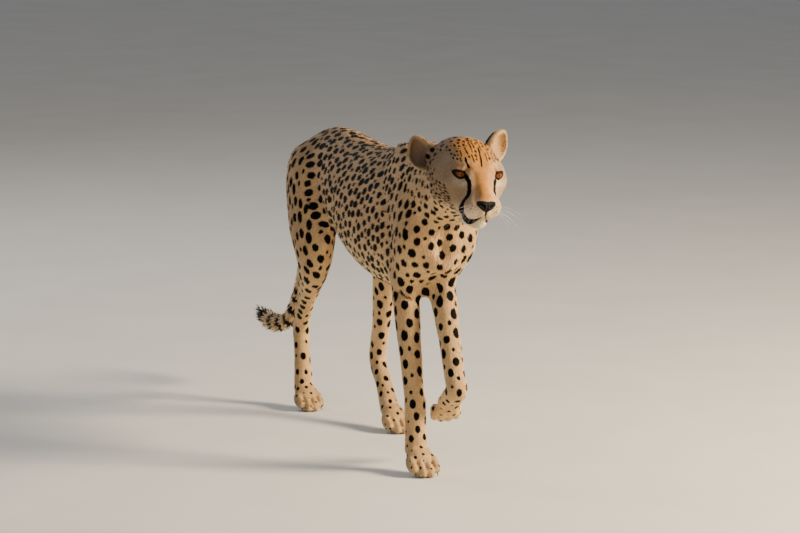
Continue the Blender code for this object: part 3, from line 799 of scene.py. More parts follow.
# The lines of the face, in its frame and in millimetres: places on the left, and half widths there
TEAR = [(30, -29, 3), (26, -30, -1), (23, -36, -8), (23, -44, -17), (25.5, -52, -28)]
TEAR += [(29, -56, -39), (33, -53, -50), (34, -47, -61), (33, -37, -72)]
TEAR_WIDTHS = [3.4, 4.6, 4.8, 4.4, 4.4, 5.2, 6.4, 7.2, 7.4]
LIP = [(0, -80, -73), (3, -76, -78), (9, -68, -82), (15, -58, -88)]
LIP += [(21, -47, -91), (27, -36, -85), (33, -35, -74)]
LIP_WIDTHS = {LEFT: [0.6, 0.8, 1.0, 1.6, 4.2, 7.0, 7.2], RIGHT: [1.8, 3.2, 5.0, 6.4, 7.0, 7.2, 7.2]}
# Dark skin at the corners of the eye, on the eye's own ball: outward, up and half width
CORNERS = [
    [(-12.0, -1.0, 3.0), (-16.0, -4.5, 3.8), (-18.0, -9.0, 4.2)],
    [(12.0, 3.0, 2.4), (19.0, 4.6, 1.8), (22.0, 5.2, 0.6)],
]
# Streaks of the forehead, each with its half width
STREAKS = [
    ([(-27, -14, 27), (-28, -24, 21), (-26, -34, 14)], 2.3),
    ([(7, 11, 44), (4, -10, 35), (0, -38, 17)], 1.9),
    ([(30, -9, 30), (32, -20, 21)], 1.6),
    ([(-14, -10, 35), (-13, -30, 23)], 1.3),
    ([(16, -6, 37), (15, -26, 25)], 1.4),
    ([(-38, -12, 30), (-38, -20, 24)], 1.3),
    ([(-8, 20, 47), (-10, -4, 38)], 1.5),
    ([(-21, 14, 43), (-20, -8, 33)], 1.5),
    ([(22, 12, 41), (23, -10, 31)], 1.3),
    ([(-2, 28, 50), (-2, 8, 44)], 1.4),
    ([(12, 26, 49), (11, 2, 40)], 1.4),
    ([(-31, 8, 38), (-33, -8, 30)], 1.4),
]
# The left half of the nose's black leather, in millimetres across and up, and of the line below it
NOSE_EDGE = [(0, -42.5), (8, -41), (16, -42), (20, -45), (20, -50), (14, -55), (7, -60), (2.2, -62.5)]
PHILTRUM_EDGE = [(2.0, -72), (0, -72)]
NOSE_BACK = -0.070  # the leather lies in front of this

WHISKER_ROWS, WHISKERS_IN_ROW = 3, 4
DOT_RADIUS = 0.0011


def whisker_roots(side):
    """The rows of whiskers on the pad of the lip, in the head's frame."""
    places = []
    for row in range(WHISKER_ROWS):
        for dot in range(WHISKERS_IN_ROW):
            x = 12 + 4.4 * dot + 1.4 * row
            places.append((side * x, -86 + 3.4 * dot + row, -56 - 4.8 * row + 0.8 * dot))
    return np.array(places) * MM


def laid_on(tree, rows):
    """Rows that start with a place in the head's frame, with their places moved onto the skin."""
    nearest = [tree.find_nearest(place)[0][:] for place in out_of(HEAD, rows[:, :3]).tolist()]
    return np.concatenate([into(HEAD, np.array(nearest)), rows[:, 3:]], 1)


def face_lines(tree):
    """Every line of the face and its half widths, and the dots of the whisker pads, on the skin."""
    lines = []
    for path, both_widths in ((TEAR, (TEAR_WIDTHS, TEAR_WIDTHS)), (LIP, LIP_WIDTHS.values())):
        for side_path, widths in zip(both_sides(path), both_widths):
            lines.append(np.concatenate([side_path, np.array(widths)[:, None] * MM], 1))
    for path, width in STREAKS:
        lines.append(np.array([(*place, width) for place in path]) * MM)
    thirds = np.linspace(0, 1, 4)[:3, None]
    laid = []
    for rows in lines:
        fine = [here + (after - here) * thirds for here, after in zip(rows, rows[1:])]
        laid.append(laid_on(tree, np.concatenate([*fine, rows[-1:]])))
    dots = np.concatenate([whisker_roots(LEFT), whisker_roots(RIGHT)])
    return laid, laid_on(tree, dots)


def nose_edge(points, outline):
    """How far points in the head's frame are from the edge of the nose, below 0 inside it."""
    front = np.stack([np.abs(points[:, 0]), points[:, 2]], 1)
    return np.where(points[:, 1] < NOSE_BACK, inside_line(front, np.array(outline) * MM), 1.0)


def strip_edge(points, rows, share=1.0):
    """How far points are from the edge of a strip, below 0 inside it: places with half widths."""
    far, _, nearest, _ = along(points, rows)
    return far - share * nearest[:, 3]


# Each kind of marking, from points and the way the skin faces there


def face_marks(points, _):
    """Tear lines, lips, nose, streaks and the dots of the whisker pads."""
    local = into(HEAD, points)
    marks = np.full(len(points), 1.0)
    face = np.flatnonzero(local[:, 1] < 0.030)
    near = local[face]
    lines, dots = LAID["face"]
    for rows in lines:
        marks[face] = np.minimum(marks[face], strip_edge(near, rows))
    for dot in dots:
        marks[face] = np.minimum(marks[face], np.linalg.norm(near - dot, axis=1) - DOT_RADIUS)
    return np.minimum(marks, nose_edge(local, NOSE_EDGE + PHILTRUM_EDGE))


def eye_marks(points, _):
    """The dark rim of each eye, drawn out at its corners, and wider above, where painted shadow of the brow
    joins it.
    """
    marks = np.full(len(points), 1.0)
    for side in (LEFT, RIGHT):
        near, angles, reach, edge = round_eye(side, points, 0.034, 0.006)
        # Above the eye the rim reaches 3.4 mm further: the black lid edge, and painted shadow of the brow
        # over it
        rim = edge - 0.0016 - 0.0034 * step_up(-0.001, 0.003, angles[:, 1])
        flat = np.concatenate([angles, np.zeros((len(angles), 1))], 1)
        for corner in CORNERS:
            rows = np.array([(out, up, 0, width) for out, up, width in corner]) * MM
            rim = np.minimum(rim, strip_edge(flat, rows))
        marks[near] = np.minimum(marks[near], rim + 1.5 * np.maximum(reach - EYE_RADIUS - 0.0025, 0))
    return marks


def ear_marks(points, normals):
    """A broad black band across the back of each ear, short of its foot and its tip."""
    marks = np.full(len(points), 1.0)
    for side in (LEFT, RIGHT):
        low, high, outside = ear_box(side, points)
        inner = step_up(0.004, -0.004, side * (points[:, 0] - (low[0] + high[0]) / 2))
        outward = side * normals[:, 0]
        behind = normals[:, 1] - 0.20 + inner * 0.25 * (1 - outward)
        behind = np.minimum(behind, 0.3 - 2 * inner * outward) * 0.02
        share = (points[:, 2] - low[2]) / (high[2] - low[2])
        band = np.maximum(-behind, (np.abs(share - 0.56) - 0.36) * 0.07)
        marks = np.minimum(marks, np.maximum(band, outside - 0.002))
    return marks


# The tail's rings: share of its length where they start, from one to the next, and half their width
RINGS_START, RING_STEP, RING_HALF = 0.60, 0.062, 0.0155
BLACK_END = (0.895, 0.955)


def tail_marks(points, _):
    """Rings towards the tail's end, then its black end."""
    far, share, _, _ = along(points, LINES["tail"])
    length = share * 0.98
    ring = np.abs((length - RINGS_START) / RING_STEP % 1 - 0.5) * RING_STEP
    rings = np.where(length > RINGS_START, RING_HALF - ring, RINGS_START - length + 0.010)
    end = np.maximum(BLACK_END[0] - length, length - BLACK_END[1])
    return np.where(far < 0.05, np.minimum(rings, end), 1.0)


def apart(x, y, z, other):
    """The distance from a place taken, counted as shorter along the lie of the coat there."""
    x, y, z = x - other[0], y - other[1], z - other[2]
    forward = x * other[3] + y * other[4] + z * other[5]
    return math.sqrt(max(x * x + y * y + z * z - forward * forward * other[6], 0))


def scatter(points, lie, measures, gap_share, cell, taken):
    """Adds places to those taken, at random but never closer than their gap.

    Each place taken, kept by cell: x, y, z, the lie there, and how much less a distance along it is.
    """
    kept = []
    rows = np.concatenate([points, lie, 1 - 1 / measures[:, 5:] ** 2, measures[:, 4:5] * gap_share], 1)
    steps = [(a, b, c) for a in (-1, 0, 1) for b in (-1, 0, 1) for c in (-1, 0, 1)]
    for i in fate.permutation(len(points)):
        *row, gap = rows[i].tolist()
        x, y, z = row[:3]
        home = (math.floor(x / cell), math.floor(y / cell), math.floor(z / cell))
        near = (taken.get((home[0] + a, home[1] + b, home[2] + c), ()) for a, b, c in steps)
        if all(apart(x, y, z, other) > gap for others in near for other in others):
            taken.setdefault(home, []).append(row)
            kept.append(i)
    return kept


FINE_GAP = 0.0165  # the gaps between the spots of the head are narrower than this
SPOT_ROOM = 0.004  # least room for a spot
SATELLITE = (0.82, 0.55)  # share of the gap and of the size, for the small spots between the others


def place_spots(points, lie, measures, room):
    """The spots as rows: place, lie, radius and how far each is drawn out."""
    on_head = measures[:, 4] < FINE_GAP
    spots = []
    # The cells are wider than the gaps. Every second or third corner of the fine net is enough.
    for chosen, cell, thin in ((~on_head, 0.048, 3), (on_head, 0.020, 2)):
        taken = {}
        at = np.flatnonzero(chosen & (room > SPOT_ROOM))[::thin]
        for gap_share, size in ((1.0, 1.0), SATELLITE):
            kept = at[scatter(points[at], lie[at], measures[at], gap_share, cell, taken)]
            radius = measures[kept, 3] * size * fate.uniform(0.88, 1.12, len(kept))
            drawn = measures[kept, 5] * fate.uniform(0.9, 1.15, len(kept))
            spots.append(np.concatenate([points[kept], lie[kept], radius[:, None], drawn[:, None]], 1))
    spots = np.concatenate(spots)
    tree = KDTree(len(spots))
    for i, spot in enumerate(spots):
        tree.insert(spot[:3], i)
    tree.balance()
    return spots, tree


def spot_marks(points):
    """How far points are from the edge of the nearest spots."""
    spots, tree = LAID["spots"]
    nearest = np.array([[i for _, i, _ in tree.find_n(point, 4)] for point in points.tolist()])
    marks = np.full(len(points), 1.0)
    for column in nearest.T:
        spot = spots[column]
        way = points - spot[:, :3]
        forward = (way * spot[:, 3:6]).sum(1)
        across = (way**2).sum(1) - forward**2
        reach = np.sqrt(np.maximum(across, 0) + (forward / spot[:, 7]) ** 2)
        marks = np.minimum(marks, reach - spot[:, 6])
    return marks


def room_for_spots(points):
    """How far points are from what takes no spots: the face, the ears and the ringed end of the tail."""
    local = into(HEAD, points)
    x, y, z = np.abs(local[:, 0]), local[:, 1], local[:, 2]
    muzzle = (y < -0.016) & (z < 0.027)
    beside_eyes = (y < 0.030) & (z > -0.026) & (z < 0.024)
    before_ears = (x > 0.050) & (y < 0.055) & (z > -0.008)
    ears = ear_share(points) > 0.2
    _, share, _, _ = along(points, LINES["tail"])
    ringed = (share > RINGS_START) & (points[:, 1] > 0.5)
    return np.where(muzzle | beside_eyes | before_ears | ears | ringed, 0, face_marks(points, None) - 0.001)


# Paws: four toes on each, the middle two leading

PAWS = list(zip(LEGS, (0.0355, 0.0355, 0.0335, 0.0335)))  # legs, with half the width over the toes
TOES = [(-0.72, 0.62), (-0.25, 0.80), (0.25, 0.80), (0.72, 0.62)]  # shares of half width and of length


def paw_axes(name):
    """The knuckles, the way the toes point, the way the sole faces, and their length."""
    knuckles, toes = (np.array(row[:3]) for row in LINES[name][-2:])
    length = np.linalg.norm(toes - knuckles)
    forward = (toes - knuckles) / length
    return knuckles, forward, np.cross((1, 0, 0), forward), length


def toe_tips():
    """Each toe's last joint, the way it points and the way its pad faces."""
    found = []
    for name, half_width in PAWS:
        knuckles, forward, sole, length = paw_axes(name)
        for place, lead in TOES:
            tip = knuckles + forward * length * (lead + 0.26) + np.array((half_width * place, 0, 0))
            found.append((tip, forward, sole))
    return found


PAD_FACING = 0.25  # how squarely a pad's skin faces the way its sole does, at least


def pad_marks(points, normals):
    """Bare black pads under each toe and under the ball of each paw."""
    marks = np.full(len(points), 1.0)
    for tip, forward, sole in toe_tips():
        far = np.linalg.norm(points - (tip + sole * 0.009), axis=1) - 0.0085
        marks = np.minimum(marks, np.where(normals @ sole > PAD_FACING, far, 1.0))
    for name, _ in PAWS:
        knuckles, forward, sole, length = paw_axes(name)
        ball = knuckles + forward * length * 0.25 + sole * 0.015
        far = np.linalg.norm((points - ball) * (0.8, 1, 1), axis=1) - 0.0150
        marks = np.minimum(marks, np.where(normals @ sole > PAD_FACING, far, 1.0))
    return marks


# The crease in front of each elbow: dark fur, and painted shadow in the fold
ELBOW_RIGHT = np.array([(-60, -394, 402), (-50, -407, 391), (-33, -411, 385)]) * MM
ELBOWS = [ELBOW_RIGHT, ELBOW_RIGHT * (-1, 1, 1) + (2 * CHEST_MIDDLE, 0, 0)]
ELBOW_HALF_WIDTH = 0.0045


def elbow_fur_and_shadow(points, _):
    """The creases: dark fur and painted shadow."""
    return np.min([along(points, path)[0] for path in ELBOWS], 0) - ELBOW_HALF_WIDTH


def all_marks(points, normals):
    """How far points are from the edge of the nearest marking, below 0 inside it."""
    marks = spot_marks(points)
    head = np.linalg.norm(into(HEAD, points), axis=1) < 0.16
    behind = points[:, 1] > 0.40
    elbows = (points[:, 1] < -0.36) & (np.abs(points[:, 2] - 0.395) < 0.05)
    low = points[:, 2] < 0.20
    for near, kinds in (
        (head, (face_marks, eye_marks, ear_marks)),
        (behind, (tail_marks,)),
        (elbows, (elbow_fur_and_shadow,)),
        (low, (pad_marks,)),
    ):
        for kind in kinds if near.any() else ():
            marks[near] = np.minimum(marks[near], kind(points[near], normals[near]))
    return marks


def bare_skin(points, normals):
    """How far points are from skin with no hair: nose, lips, rims of the eyes and pads."""
    local = into(HEAD, points)
    bare = nose_edge(local, NOSE_EDGE + [(0, NOSE_EDGE[-1][1])])
    _, _, left_lip, right_lip = LAID["face"][0][:4]
    for rows in (left_lip, right_lip):
        bare = np.minimum(bare, strip_edge(local, rows, 0.55))
    for side in (LEFT, RIGHT):
        near, angles, reach, edge = round_eye(side, points, 0.034, 0.004)
        rim = edge - 0.0020 - 0.0016 * step_up(-0.003, 0.001, angles[:, 1])
        rim += 1.5 * np.maximum(reach - EYE_RADIUS - 0.0020, 0)
        bare[near] = np.minimum(bare[near], rim)
    return np.minimum(bare, pad_marks(points, normals))


# The tufts

# A tuft's five points: root, both edges and the ridge at its middle, and tip
TUFT_FACES = np.array([(0, 1, 3), (0, 3, 2), (0, 2, 1), (4, 3, 1), (4, 2, 3), (4, 1, 2)])
TUFT_POINTS = 5
COVER = 1.05  # layers of tufts over the skin
MOST_TUFTS = 32000  # in one piece
ROOT_DEPTH = 0.0006


def skin_roots(mesh, cover):
    """Random places on the skin, as triangles and shares of their corners."""
    mesh.calc_loop_triangles()
    corners = np.empty(len(mesh.loop_triangles) * 3, np.int32)
    mesh.loop_triangles.foreach_get("vertices", corners)
    corners = corners.reshape(-1, 3)
    points = points_of(mesh)
    a, b, c = (points[corners[:, k]] for k in range(3))
    area = np.linalg.norm(np.cross(b - a, c - a), axis=1) / 2
    wanted = area * cover[corners].mean(1)
    total = np.cumsum(wanted)
    chosen = np.searchsorted(total, fate.uniform(0, total[-1], int(total[-1])))
    u, v = fate.random((2, len(chosen)))
    u, v = np.where(u + v > 1, 1 - u, u), np.where(u + v > 1, 1 - v, v)
    return corners[chosen], np.stack([1 - u - v, u, v], 1)


def from_corners(values, corners, shares):
    """Values kept at the corners of the skin, at places within its triangles."""
    return (values[corners] * shares.reshape(*shares.shape, *[1] * (values.ndim - 1))).sum(1)


def chart(points, share, rows, ways):
    """Where points lie on the body unrolled round one of its lines, between 0 and 1 both ways."""
    over = unit(np.cross(ways, (1.0, 0, 0)))
    across = np.cross(over, ways)
    off = points - rows[:, :3]
    turn = np.arctan2((off * across).sum(1), (off * over).sum(1)) / (2 * math.pi) + 0.5
    spread = np.stack([share, turn], 1)
    low, high = spread.min(0), spread.max(0)
    return 0.01 + 0.98 * (spread - low) / np.maximum(high - low, 1e-6)


def kites(name, points, chart_places):
    """A mesh of tufts from their points, five to a tuft, unwrapped at their places in the chart."""
    count = len(points)
    mesh = bpy.data.meshes.new(name)
    mesh.vertices.add(count * TUFT_POINTS)
    mesh.vertices.foreach_set("co", points.astype(np.float32).ravel())
    faces = (TUFT_FACES + np.arange(count)[:, None, None] * TUFT_POINTS).reshape(-1)
    mesh.loops.add(len(faces))
    mesh.loops.foreach_set("vertex_index", faces.astype(np.int32))
    mesh.polygons.add(count * len(TUFT_FACES))
    mesh.polygons.foreach_set("loop_start", np.arange(0, len(faces), 3, dtype=np.int32))
    mesh.update(calc_edges=True)
    patch = np.array([(-1, 0), (0, -1), (0, 1), (0.3, 0), (1, 0)]) * 0.0015
    places = (chart_places[:, None] + patch).reshape(-1, 2)[faces]
    mesh.uv_layers.new(name="OFBake").data.foreach_set("uv", places.astype(np.float32).ravel())
    mesh.shade_smooth()
    return mesh


def tufts_piece(name, roots, material):
    """One mesh of tufts: each a long thin kite of five points, closed, lying along the coat."""
    count = len(roots["place"])
    place, normal, lie = roots["place"], roots["normal"], roots["lie"]
    side = np.cross(normal, lie)
    turn = fate.normal(0, 1, count)[:, None] * roots["unruly"][:, None]
    lie = unit(lie * np.cos(turn) + side * np.sin(turn))
    side = np.cross(normal, lie)
    length = (roots["length"] * fate.uniform(0.75, 1.2, count))[:, None]
    width = (roots["width"] * fate.uniform(0.8, 1.2, count))[:, None]
    rise = (roots["rise"] * fate.uniform(0.55, 1.1, count))[:, None]
    root = place - normal * ROOT_DEPTH
    middle = place + lie * length * 0.42 + normal * rise * 0.48
    ridge = middle + normal * width * 0.32
    tip = place + lie * length + normal * rise
    points = np.stack([root, middle - side * width / 2, middle + side * width / 2, ridge, tip], 1)
    mesh = kites(name, points, roots["chart"])
    bend = 0.6
    edges = [unit(normal - side * bend), unit(normal + side * bend)]
    facing = np.stack([normal, *edges, normal, unit(normal + lie * bend / 2)], 1)
    mesh.normals_split_custom_set_from_vertices(facing.reshape(-1, 3).astype(np.float32))
    # Hair has its root's colour, so a marking is seen a little way along it
    seen = np.concatenate([place, middle + (place - middle) * 0.15, tip + (place - tip) * 0.35])
    marks = all_marks(seen, np.tile(normal, (3, 1))).reshape(3, count).T[:, [0, 1, 1, 1, 2]]
    numbers(mesh, "mark", marks.reshape(-1) / MM)
    tone = np.concatenate([roots["tone"], np.ones((count, 1))], 1)
    numbers(mesh, "tone", np.repeat(tone, TUFT_POINTS, 0), "FLOAT_COLOR")
    own = np.repeat(fate.random(count)[:, None], TUFT_POINTS, 1)
    across = np.array([0, -1, 1, 0, 0]) + 40 * own
    forward = np.zeros((count, TUFT_POINTS)) + (0, 0.4, 0.4, 0.4, 1.0)
    numbers(mesh, "strand", np.stack([across, forward, own], 2).reshape(-1, 3), "FLOAT_VECTOR")
    new_piece(name, mesh, material)


def grow_coat(skin, measures, lie, tone, bare, material):
    """Tufts all over the skin, in pieces by part of the body."""
    mesh = skin.data
    kite = measures[:, 0] * measures[:, 1] / 2
    cover = COVER / kite * step_up(0.0, 0.0010, bare)
    corners, shares = skin_roots(mesh, cover)
    points, normals = points_of(mesh), normals_of(mesh)
    place = from_corners(points, corners, shares)
    normal = unit(from_corners(normals, corners, shares))
    ways = from_corners(lie, corners, shares)
    ways = unit(ways - normal * (ways * normal).sum(1, keepdims=True))
    sizes = from_corners(measures, corners, shares)
    edge = from_corners(bare, corners, shares)
    short = (0.40 + 0.60 * step_up(0.001, 0.014, edge)) * (1 - 0.45 * ear_share(place))
    roots = {
        "place": place,
        "normal": normal,
        "lie": ways,
        "length": sizes[:, 0] * short,
        "width": sizes[:, 1] * (0.5 + 0.5 * short),
        "rise": sizes[:, 2] * short,
        "unruly": 0.20 + 12.0 * np.maximum(sizes[:, 2] - 0.003, 0) / 0.5,
        "tone": from_corners(tone, corners, shares),
    }
    ruled, found = line_shares(place)
    owner = ruled.argmax(1)
    for i, name in enumerate(LINES):
        own = owner == i
        _, share, rows, tangents = found[name]
        parts = max(1, math.ceil(own.sum() / MOST_TUFTS))
        bounds = np.quantile(share[own], np.linspace(0, 1, parts + 1))
        for part in range(parts):
            chosen = own & (share >= bounds[part]) & (share < bounds[part + 1] + (part == parts - 1))
            some = {key: value[chosen] for key, value in roots.items()}
            some["chart"] = chart(place[chosen], share[chosen], rows[chosen], tangents[chosen])
            tufts_piece(f"coat_{name}_{part + 1}", some, material)


# Finishes


class Finish:
    """A material, made node by node."""

    def __init__(self, name, roughness, fixed=()):
        self.material = bpy.data.materials.new(name)
        self.material.use_nodes = True
        self.tree = self.material.node_tree
        self.shader = self.tree.nodes["Principled BSDF"]
        self.shader.inputs["Roughness"].default_value = roughness
        for socket, value in fixed:
            self.shader.inputs[socket].default_value = value

    def node(self, kind, *inputs, **settings):
        """A node whose inputs, in order, are other nodes' outputs or plain values; None leaves one."""
        made = self.tree.nodes.new("ShaderNode" + kind)
        for setting, value in settings.items():
            setattr(made, setting, value)
        for socket, value in zip(made.inputs, inputs):
            if isinstance(value, bpy.types.NodeSocket):
                self.tree.links.new(value, socket)
            elif value is not None:
                socket.default_value = value
        return made

    def kept(self, name, output="Fac"):
        """What numbers() kept with the mesh."""
        return self.node("Attribute", attribute_name=name).outputs[output]

    def place(self):
        return self.node("NewGeometry").outputs["Position"]

    def math(self, operation, one, other):
        return self.node("Math", one, other, operation=operation).outputs[0]

    def noise(self, vector, scale, detail=2.0, roughness=0.5):
        made = self.node("TexNoise", vector)
        made.inputs["Scale"].default_value = scale
        made.inputs["Detail"].default_value = detail
        made.inputs["Roughness"].default_value = roughness
        return made.outputs["Fac"]

    def ramp(self, value, low, high, first=0.0, last=1.0):
        return self.node("MapRange", value, low, high, first, last).outputs[0]

    def mix(self, share, one, other, blend="MIX"):
        made = self.tree.nodes.new("ShaderNodeMix")
        made.data_type = "RGBA"
        made.blend_type = blend
        for socket, value in ((0, share), (6, one), (7, other)):
            if isinstance(value, bpy.types.NodeSocket):
                self.tree.links.new(value, made.inputs[socket])
            else:
                made.inputs[socket].default_value = value
        return made.outputs[2]

    def wire(self, socket, value):
        self.tree.links.new(value, self.shader.inputs[socket])

    def bump(self, height, strength, distance):
        made = self.node("Bump", strength, distance)
        self.tree.links.new(height, made.inputs["Height"])
        self.wire("Normal", made.outputs[0])


def opaque(tint):
    """A colour as sockets take it."""
    return (*tint, 1.0)


def grey(finish, value):
    """A grey as light as a value."""
    return finish.node("CombineColor", value, value, value).outputs[0]


def marked_tone(finish, place):
    """The coat's tone with its black markings, whose edges are ragged as hair makes them."""
    mark = finish.kept("mark")
    broad = finish.ramp(finish.noise(place, 110.0), 0.25, 0.75, -0.7, 0.7)
    fine = finish.ramp(finish.noise(place, 700.0), 0.25, 0.75, -0.4, 0.4)
    ragged = finish.math("ADD", mark, finish.math("ADD", broad, fine))
    inside = finish.ramp(ragged, 0.7, -0.7)
    patches = finish.ramp(finish.noise(place, 14.0, 3.0), 0.3, 0.7, 0.90, 1.08)
    tone = finish.mix(1.0, finish.kept("tone", "Color"), grey(finish, patches), "MULTIPLY")
    return finish.mix(inside, tone, opaque(BLACK))


def coat_finish():
    """Hair, each tuft with its own tone, darker at the root as painted shade, and streaked along its
    length.
    """
    finish = Finish("coat", 0.62, [("Specular IOR Level", 0.07)])
    tone = marked_tone(finish, finish.place())
    strand = finish.kept("strand", "Vector")
    parts = finish.node("SeparateXYZ", strand)
    streaks = finish.noise(strand, 3.0, 3.0, 0.6)
    shade = finish.ramp(streaks, 0.3, 0.7, 0.86, 1.12)
    own = finish.ramp(parts.outputs[2], 0.0, 1.0, 0.82, 1.12)
    # Painted shade at the root, where the tufts over it shadow each tuft: 0.74 there, full from 0.6 of its
    # length
    root = finish.ramp(parts.outputs[1], 0.0, 0.6, 0.74, 1.0)
    light = finish.math("MULTIPLY", finish.math("MULTIPLY", shade, own), root)
    finish.wire("Base Color", finish.mix(1.0, tone, grey(finish, light), "MULTIPLY"))
    finish.bump(streaks, 0.35, 0.0004)
    return finish.material


def skin_finish():
    """Under-fur between the tufts, darkened by painted shade of the tufts over it, and bare black leather
    on nose, lips and pads.
    """
    finish = Finish("skin", 0.7, [("Specular IOR Level", 0.10)])
    place = finish.place()
    tone = marked_tone(finish, place)
    bare = finish.ramp(finish.kept("bare"), 1.0, 0.0)
    # Noise darkens the under-fur's tone to between 0.55 and 0.95: painted shade of the tufts over it
    fur = finish.noise(place, 900.0, 4.0, 0.65)
    shade = finish.ramp(fur, 0.3, 0.7, 0.55, 0.95)
    furry = finish.mix(1.0, tone, grey(finish, shade), "MULTIPLY")
    creases = finish.ramp(finish.noise(place, 260.0, 3.0), 0.3, 0.7)
    dark = finish.mix(creases, (0.003, 0.0025, 0.0025, 1), (0.008, 0.006, 0.006, 1))
    finish.wire("Base Color", finish.mix(bare, furry, dark))
    finish.wire("Roughness", finish.ramp(bare, 0.0, 1.0, 0.75, 0.45))
    pores = finish.node("TexVoronoi", place)
    pores.inputs["Scale"].default_value = 950.0
    grain = finish.math("MULTIPLY", finish.ramp(pores.outputs["Distance"], 0.0, 0.6, 0.0, 0.8), bare)
    finish.bump(finish.math("ADD", grain, finish.math("MULTIPLY", fur, 0.6)), 0.6, 0.0006)
    return finish.material


def eye_finish():
    """An amber iris with rays round a round pupil, a dark rim, a wet surface, and painted shadow under the
    lids.
    """
    wet = [("Coat Weight", 0.05), ("Coat Roughness", 0.04), ("Specular IOR Level", 0.10)]
    finish = Finish("eye", 0.10, wet)
    tilt = finish.kept("tilt")
    rays = finish.noise(finish.kept("rays", "Vector"), 3.4, 5.0, 0.65)
    wave = finish.math("ADD", tilt, finish.ramp(rays, 0.2, 0.8, -0.7, 0.7))
    amber, brown = opaque(colour(136, 74, 26)), opaque(colour(96, 48, 14))
    iris = finish.mix(finish.ramp(wave, 3.8, 12.0), amber, brown)
    iris = finish.mix(finish.ramp(rays, 0.35, 0.75), iris, opaque(colour(70, 32, 9)))
    rim = finish.mix(finish.ramp(wave, 12.4, 13.6), iris, (0.012, 0.006, 0.004, 1))
    white = finish.mix(finish.ramp(tilt, 14.2, 16.0), rim, opaque(colour(54, 38, 30)))
    whole = finish.mix(finish.ramp(tilt, 2.3, 1.9), white, (0.002, 0.002, 0.002, 1))
    # Painted shadow of the lids darkens the ball to 0.12 under their edge
    shade = finish.ramp(finish.kept("lid_shadow"), 0.0, 1.0, 1.0, 0.12)
    finish.wire("Base Color", finish.mix(1.0, whole, grey(finish, shade), "MULTIPLY"))
    return finish.material


def plain_finish(name, one, other, roughness, scale, depth, specular=0.5):
    """Two near colours in fine grain."""
    finish = Finish(name, roughness, [("Specular IOR Level", specular)])
    grain = finish.noise(finish.place(), scale, 4.0, 0.6)
    finish.wire("Base Color", finish.mix(finish.ramp(grain, 0.3, 0.7), opaque(one), opaque(other)))
    finish.bump(grain, 0.5, depth)
    return finish.material


# Whiskers and claws


TUBE_STEPS = np.linspace(0, 1, 8)


def tube(mesh, path, radii, sides):
    """Adds a closed tapering tube along a path."""
    path = [Vector(place) for place in path]
    rings = []
    across = None
    for i, place in enumerate(path):
        way = (path[min(i + 1, len(path) - 1)] - path[max(i - 1, 0)]).normalized()
        across = (across - way * across.dot(way)).normalized() if rings else way.orthogonal().normalized()
        over = way.cross(across)
        ring = []
        for k in range(sides):
            turn = 2 * math.pi * k / sides
            out = across * math.cos(turn) + over * math.sin(turn)
            ring.append(mesh.verts.new(place + out * radii[i]))
        rings.append(ring)
    for near, far in zip(rings, rings[1:]):
        for k in range(sides):
            mesh.faces.new((near[k], near[(k + 1) % sides], far[(k + 1) % sides], far[k]))
    mesh.faces.new(reversed(rings[0]))
    mesh.faces.new(rings[-1])


def tubes_piece(name, paths, radii, sides, material):
    """A piece of tubes of one kind."""
    tubes = bmesh.new()
    for path in paths:
        tube(tubes, path, radii, sides)
    mesh = mesh_from(tubes, name)
    mesh.shade_smooth()
    new_piece(name, mesh, material)


def add_whiskers(skin_tree, material):
    """Long thin hairs out of the lip's pads, longest behind, drooping to their tips."""
    turn = HEAD.to_3x3().normalized()
    for side in (LEFT, RIGHT):
        paths = []
        for i, start in enumerate(whisker_roots(side)):
            row, dot = divmod(i, WHISKERS_IN_ROW)
            place, normal, _, _ = skin_tree.find_nearest(Vector(out_of(HEAD, start)))
            way = Vector((side * (0.62 + 0.10 * dot), -0.50 + 0.20 * dot, 0.10 - 0.13 * row))
            way = (turn @ way.normalized() + normal * 0.5).normalized()
            length = 0.028 + 0.009 * dot + 0.006 * fate.random()
            root = place - way * 0.0015
            fall = Vector((0, 0.25, -0.45)) * length
            paths.append([root + way * length * share + fall * share**2 for share in TUBE_STEPS])
        name = f"whiskers_{SIDE_NAMES[side]}"
        tubes_piece(name, paths, 0.00016 * (1 - 0.7 * TUBE_STEPS), 5, material)


def add_claws(material):
    """A short curved claw out of each toe, clear of the floor."""
    tips = toe_tips()
    for i, (name, _) in enumerate(PAWS):
        paths = []
        for tip, forward, sole in tips[i * len(TOES) : (i + 1) * len(TOES)]:
            ahead = (0.0075 + 0.0115 * TUBE_STEPS)[:, None] * forward
            path = tip + ahead + (0.0065 * TUBE_STEPS**2 - 0.0010)[:, None] * sole
            path[:, 2] = np.maximum(path[:, 2], 0.0018)
            paths.append(path)
        tubes_piece(f"claws_{name}", paths, 0.0023 * (1 - 0.82 * TUBE_STEPS**1.6), 8, material)


# The whole animal


def sink(skin):
    """Lowers the skin by the depth of the coat that lies over it."""
    points, normals = points_of(skin.data), normals_of(skin.data)
    rise = coat_measures(points, *line_shares(points))[:, 2]
    depth = rise * 0.9 * (1 - 0.8 * ear_share(points))
    move_to(skin.data, points - normals * depth[:, None])


def make_skin():
    """One skin over the whole animal, fine where the face's features are."""
    skin = whole_flesh()
    smooth_body(skin)
    sink(skin)
    lighten(skin)
    split_long(skin, LONGEST_EDGE)
    refine(skin, on_face)
    refine(skin, by_features)
    points = points_of(skin.data)
    weights = (on_face(into(HEAD, points)) & (ear_share(points) < 0.1)).astype(float)
    move_to(skin.data, evened(skin.data, points, weights, 8))
    carve(skin, HEAD, face_strokes(FURROWS))
    carve(skin, HEAD, face_strokes([NOSTRIL]))
    carve(skin, Matrix(), body_strokes())
    shape_lids(skin)
    return skin


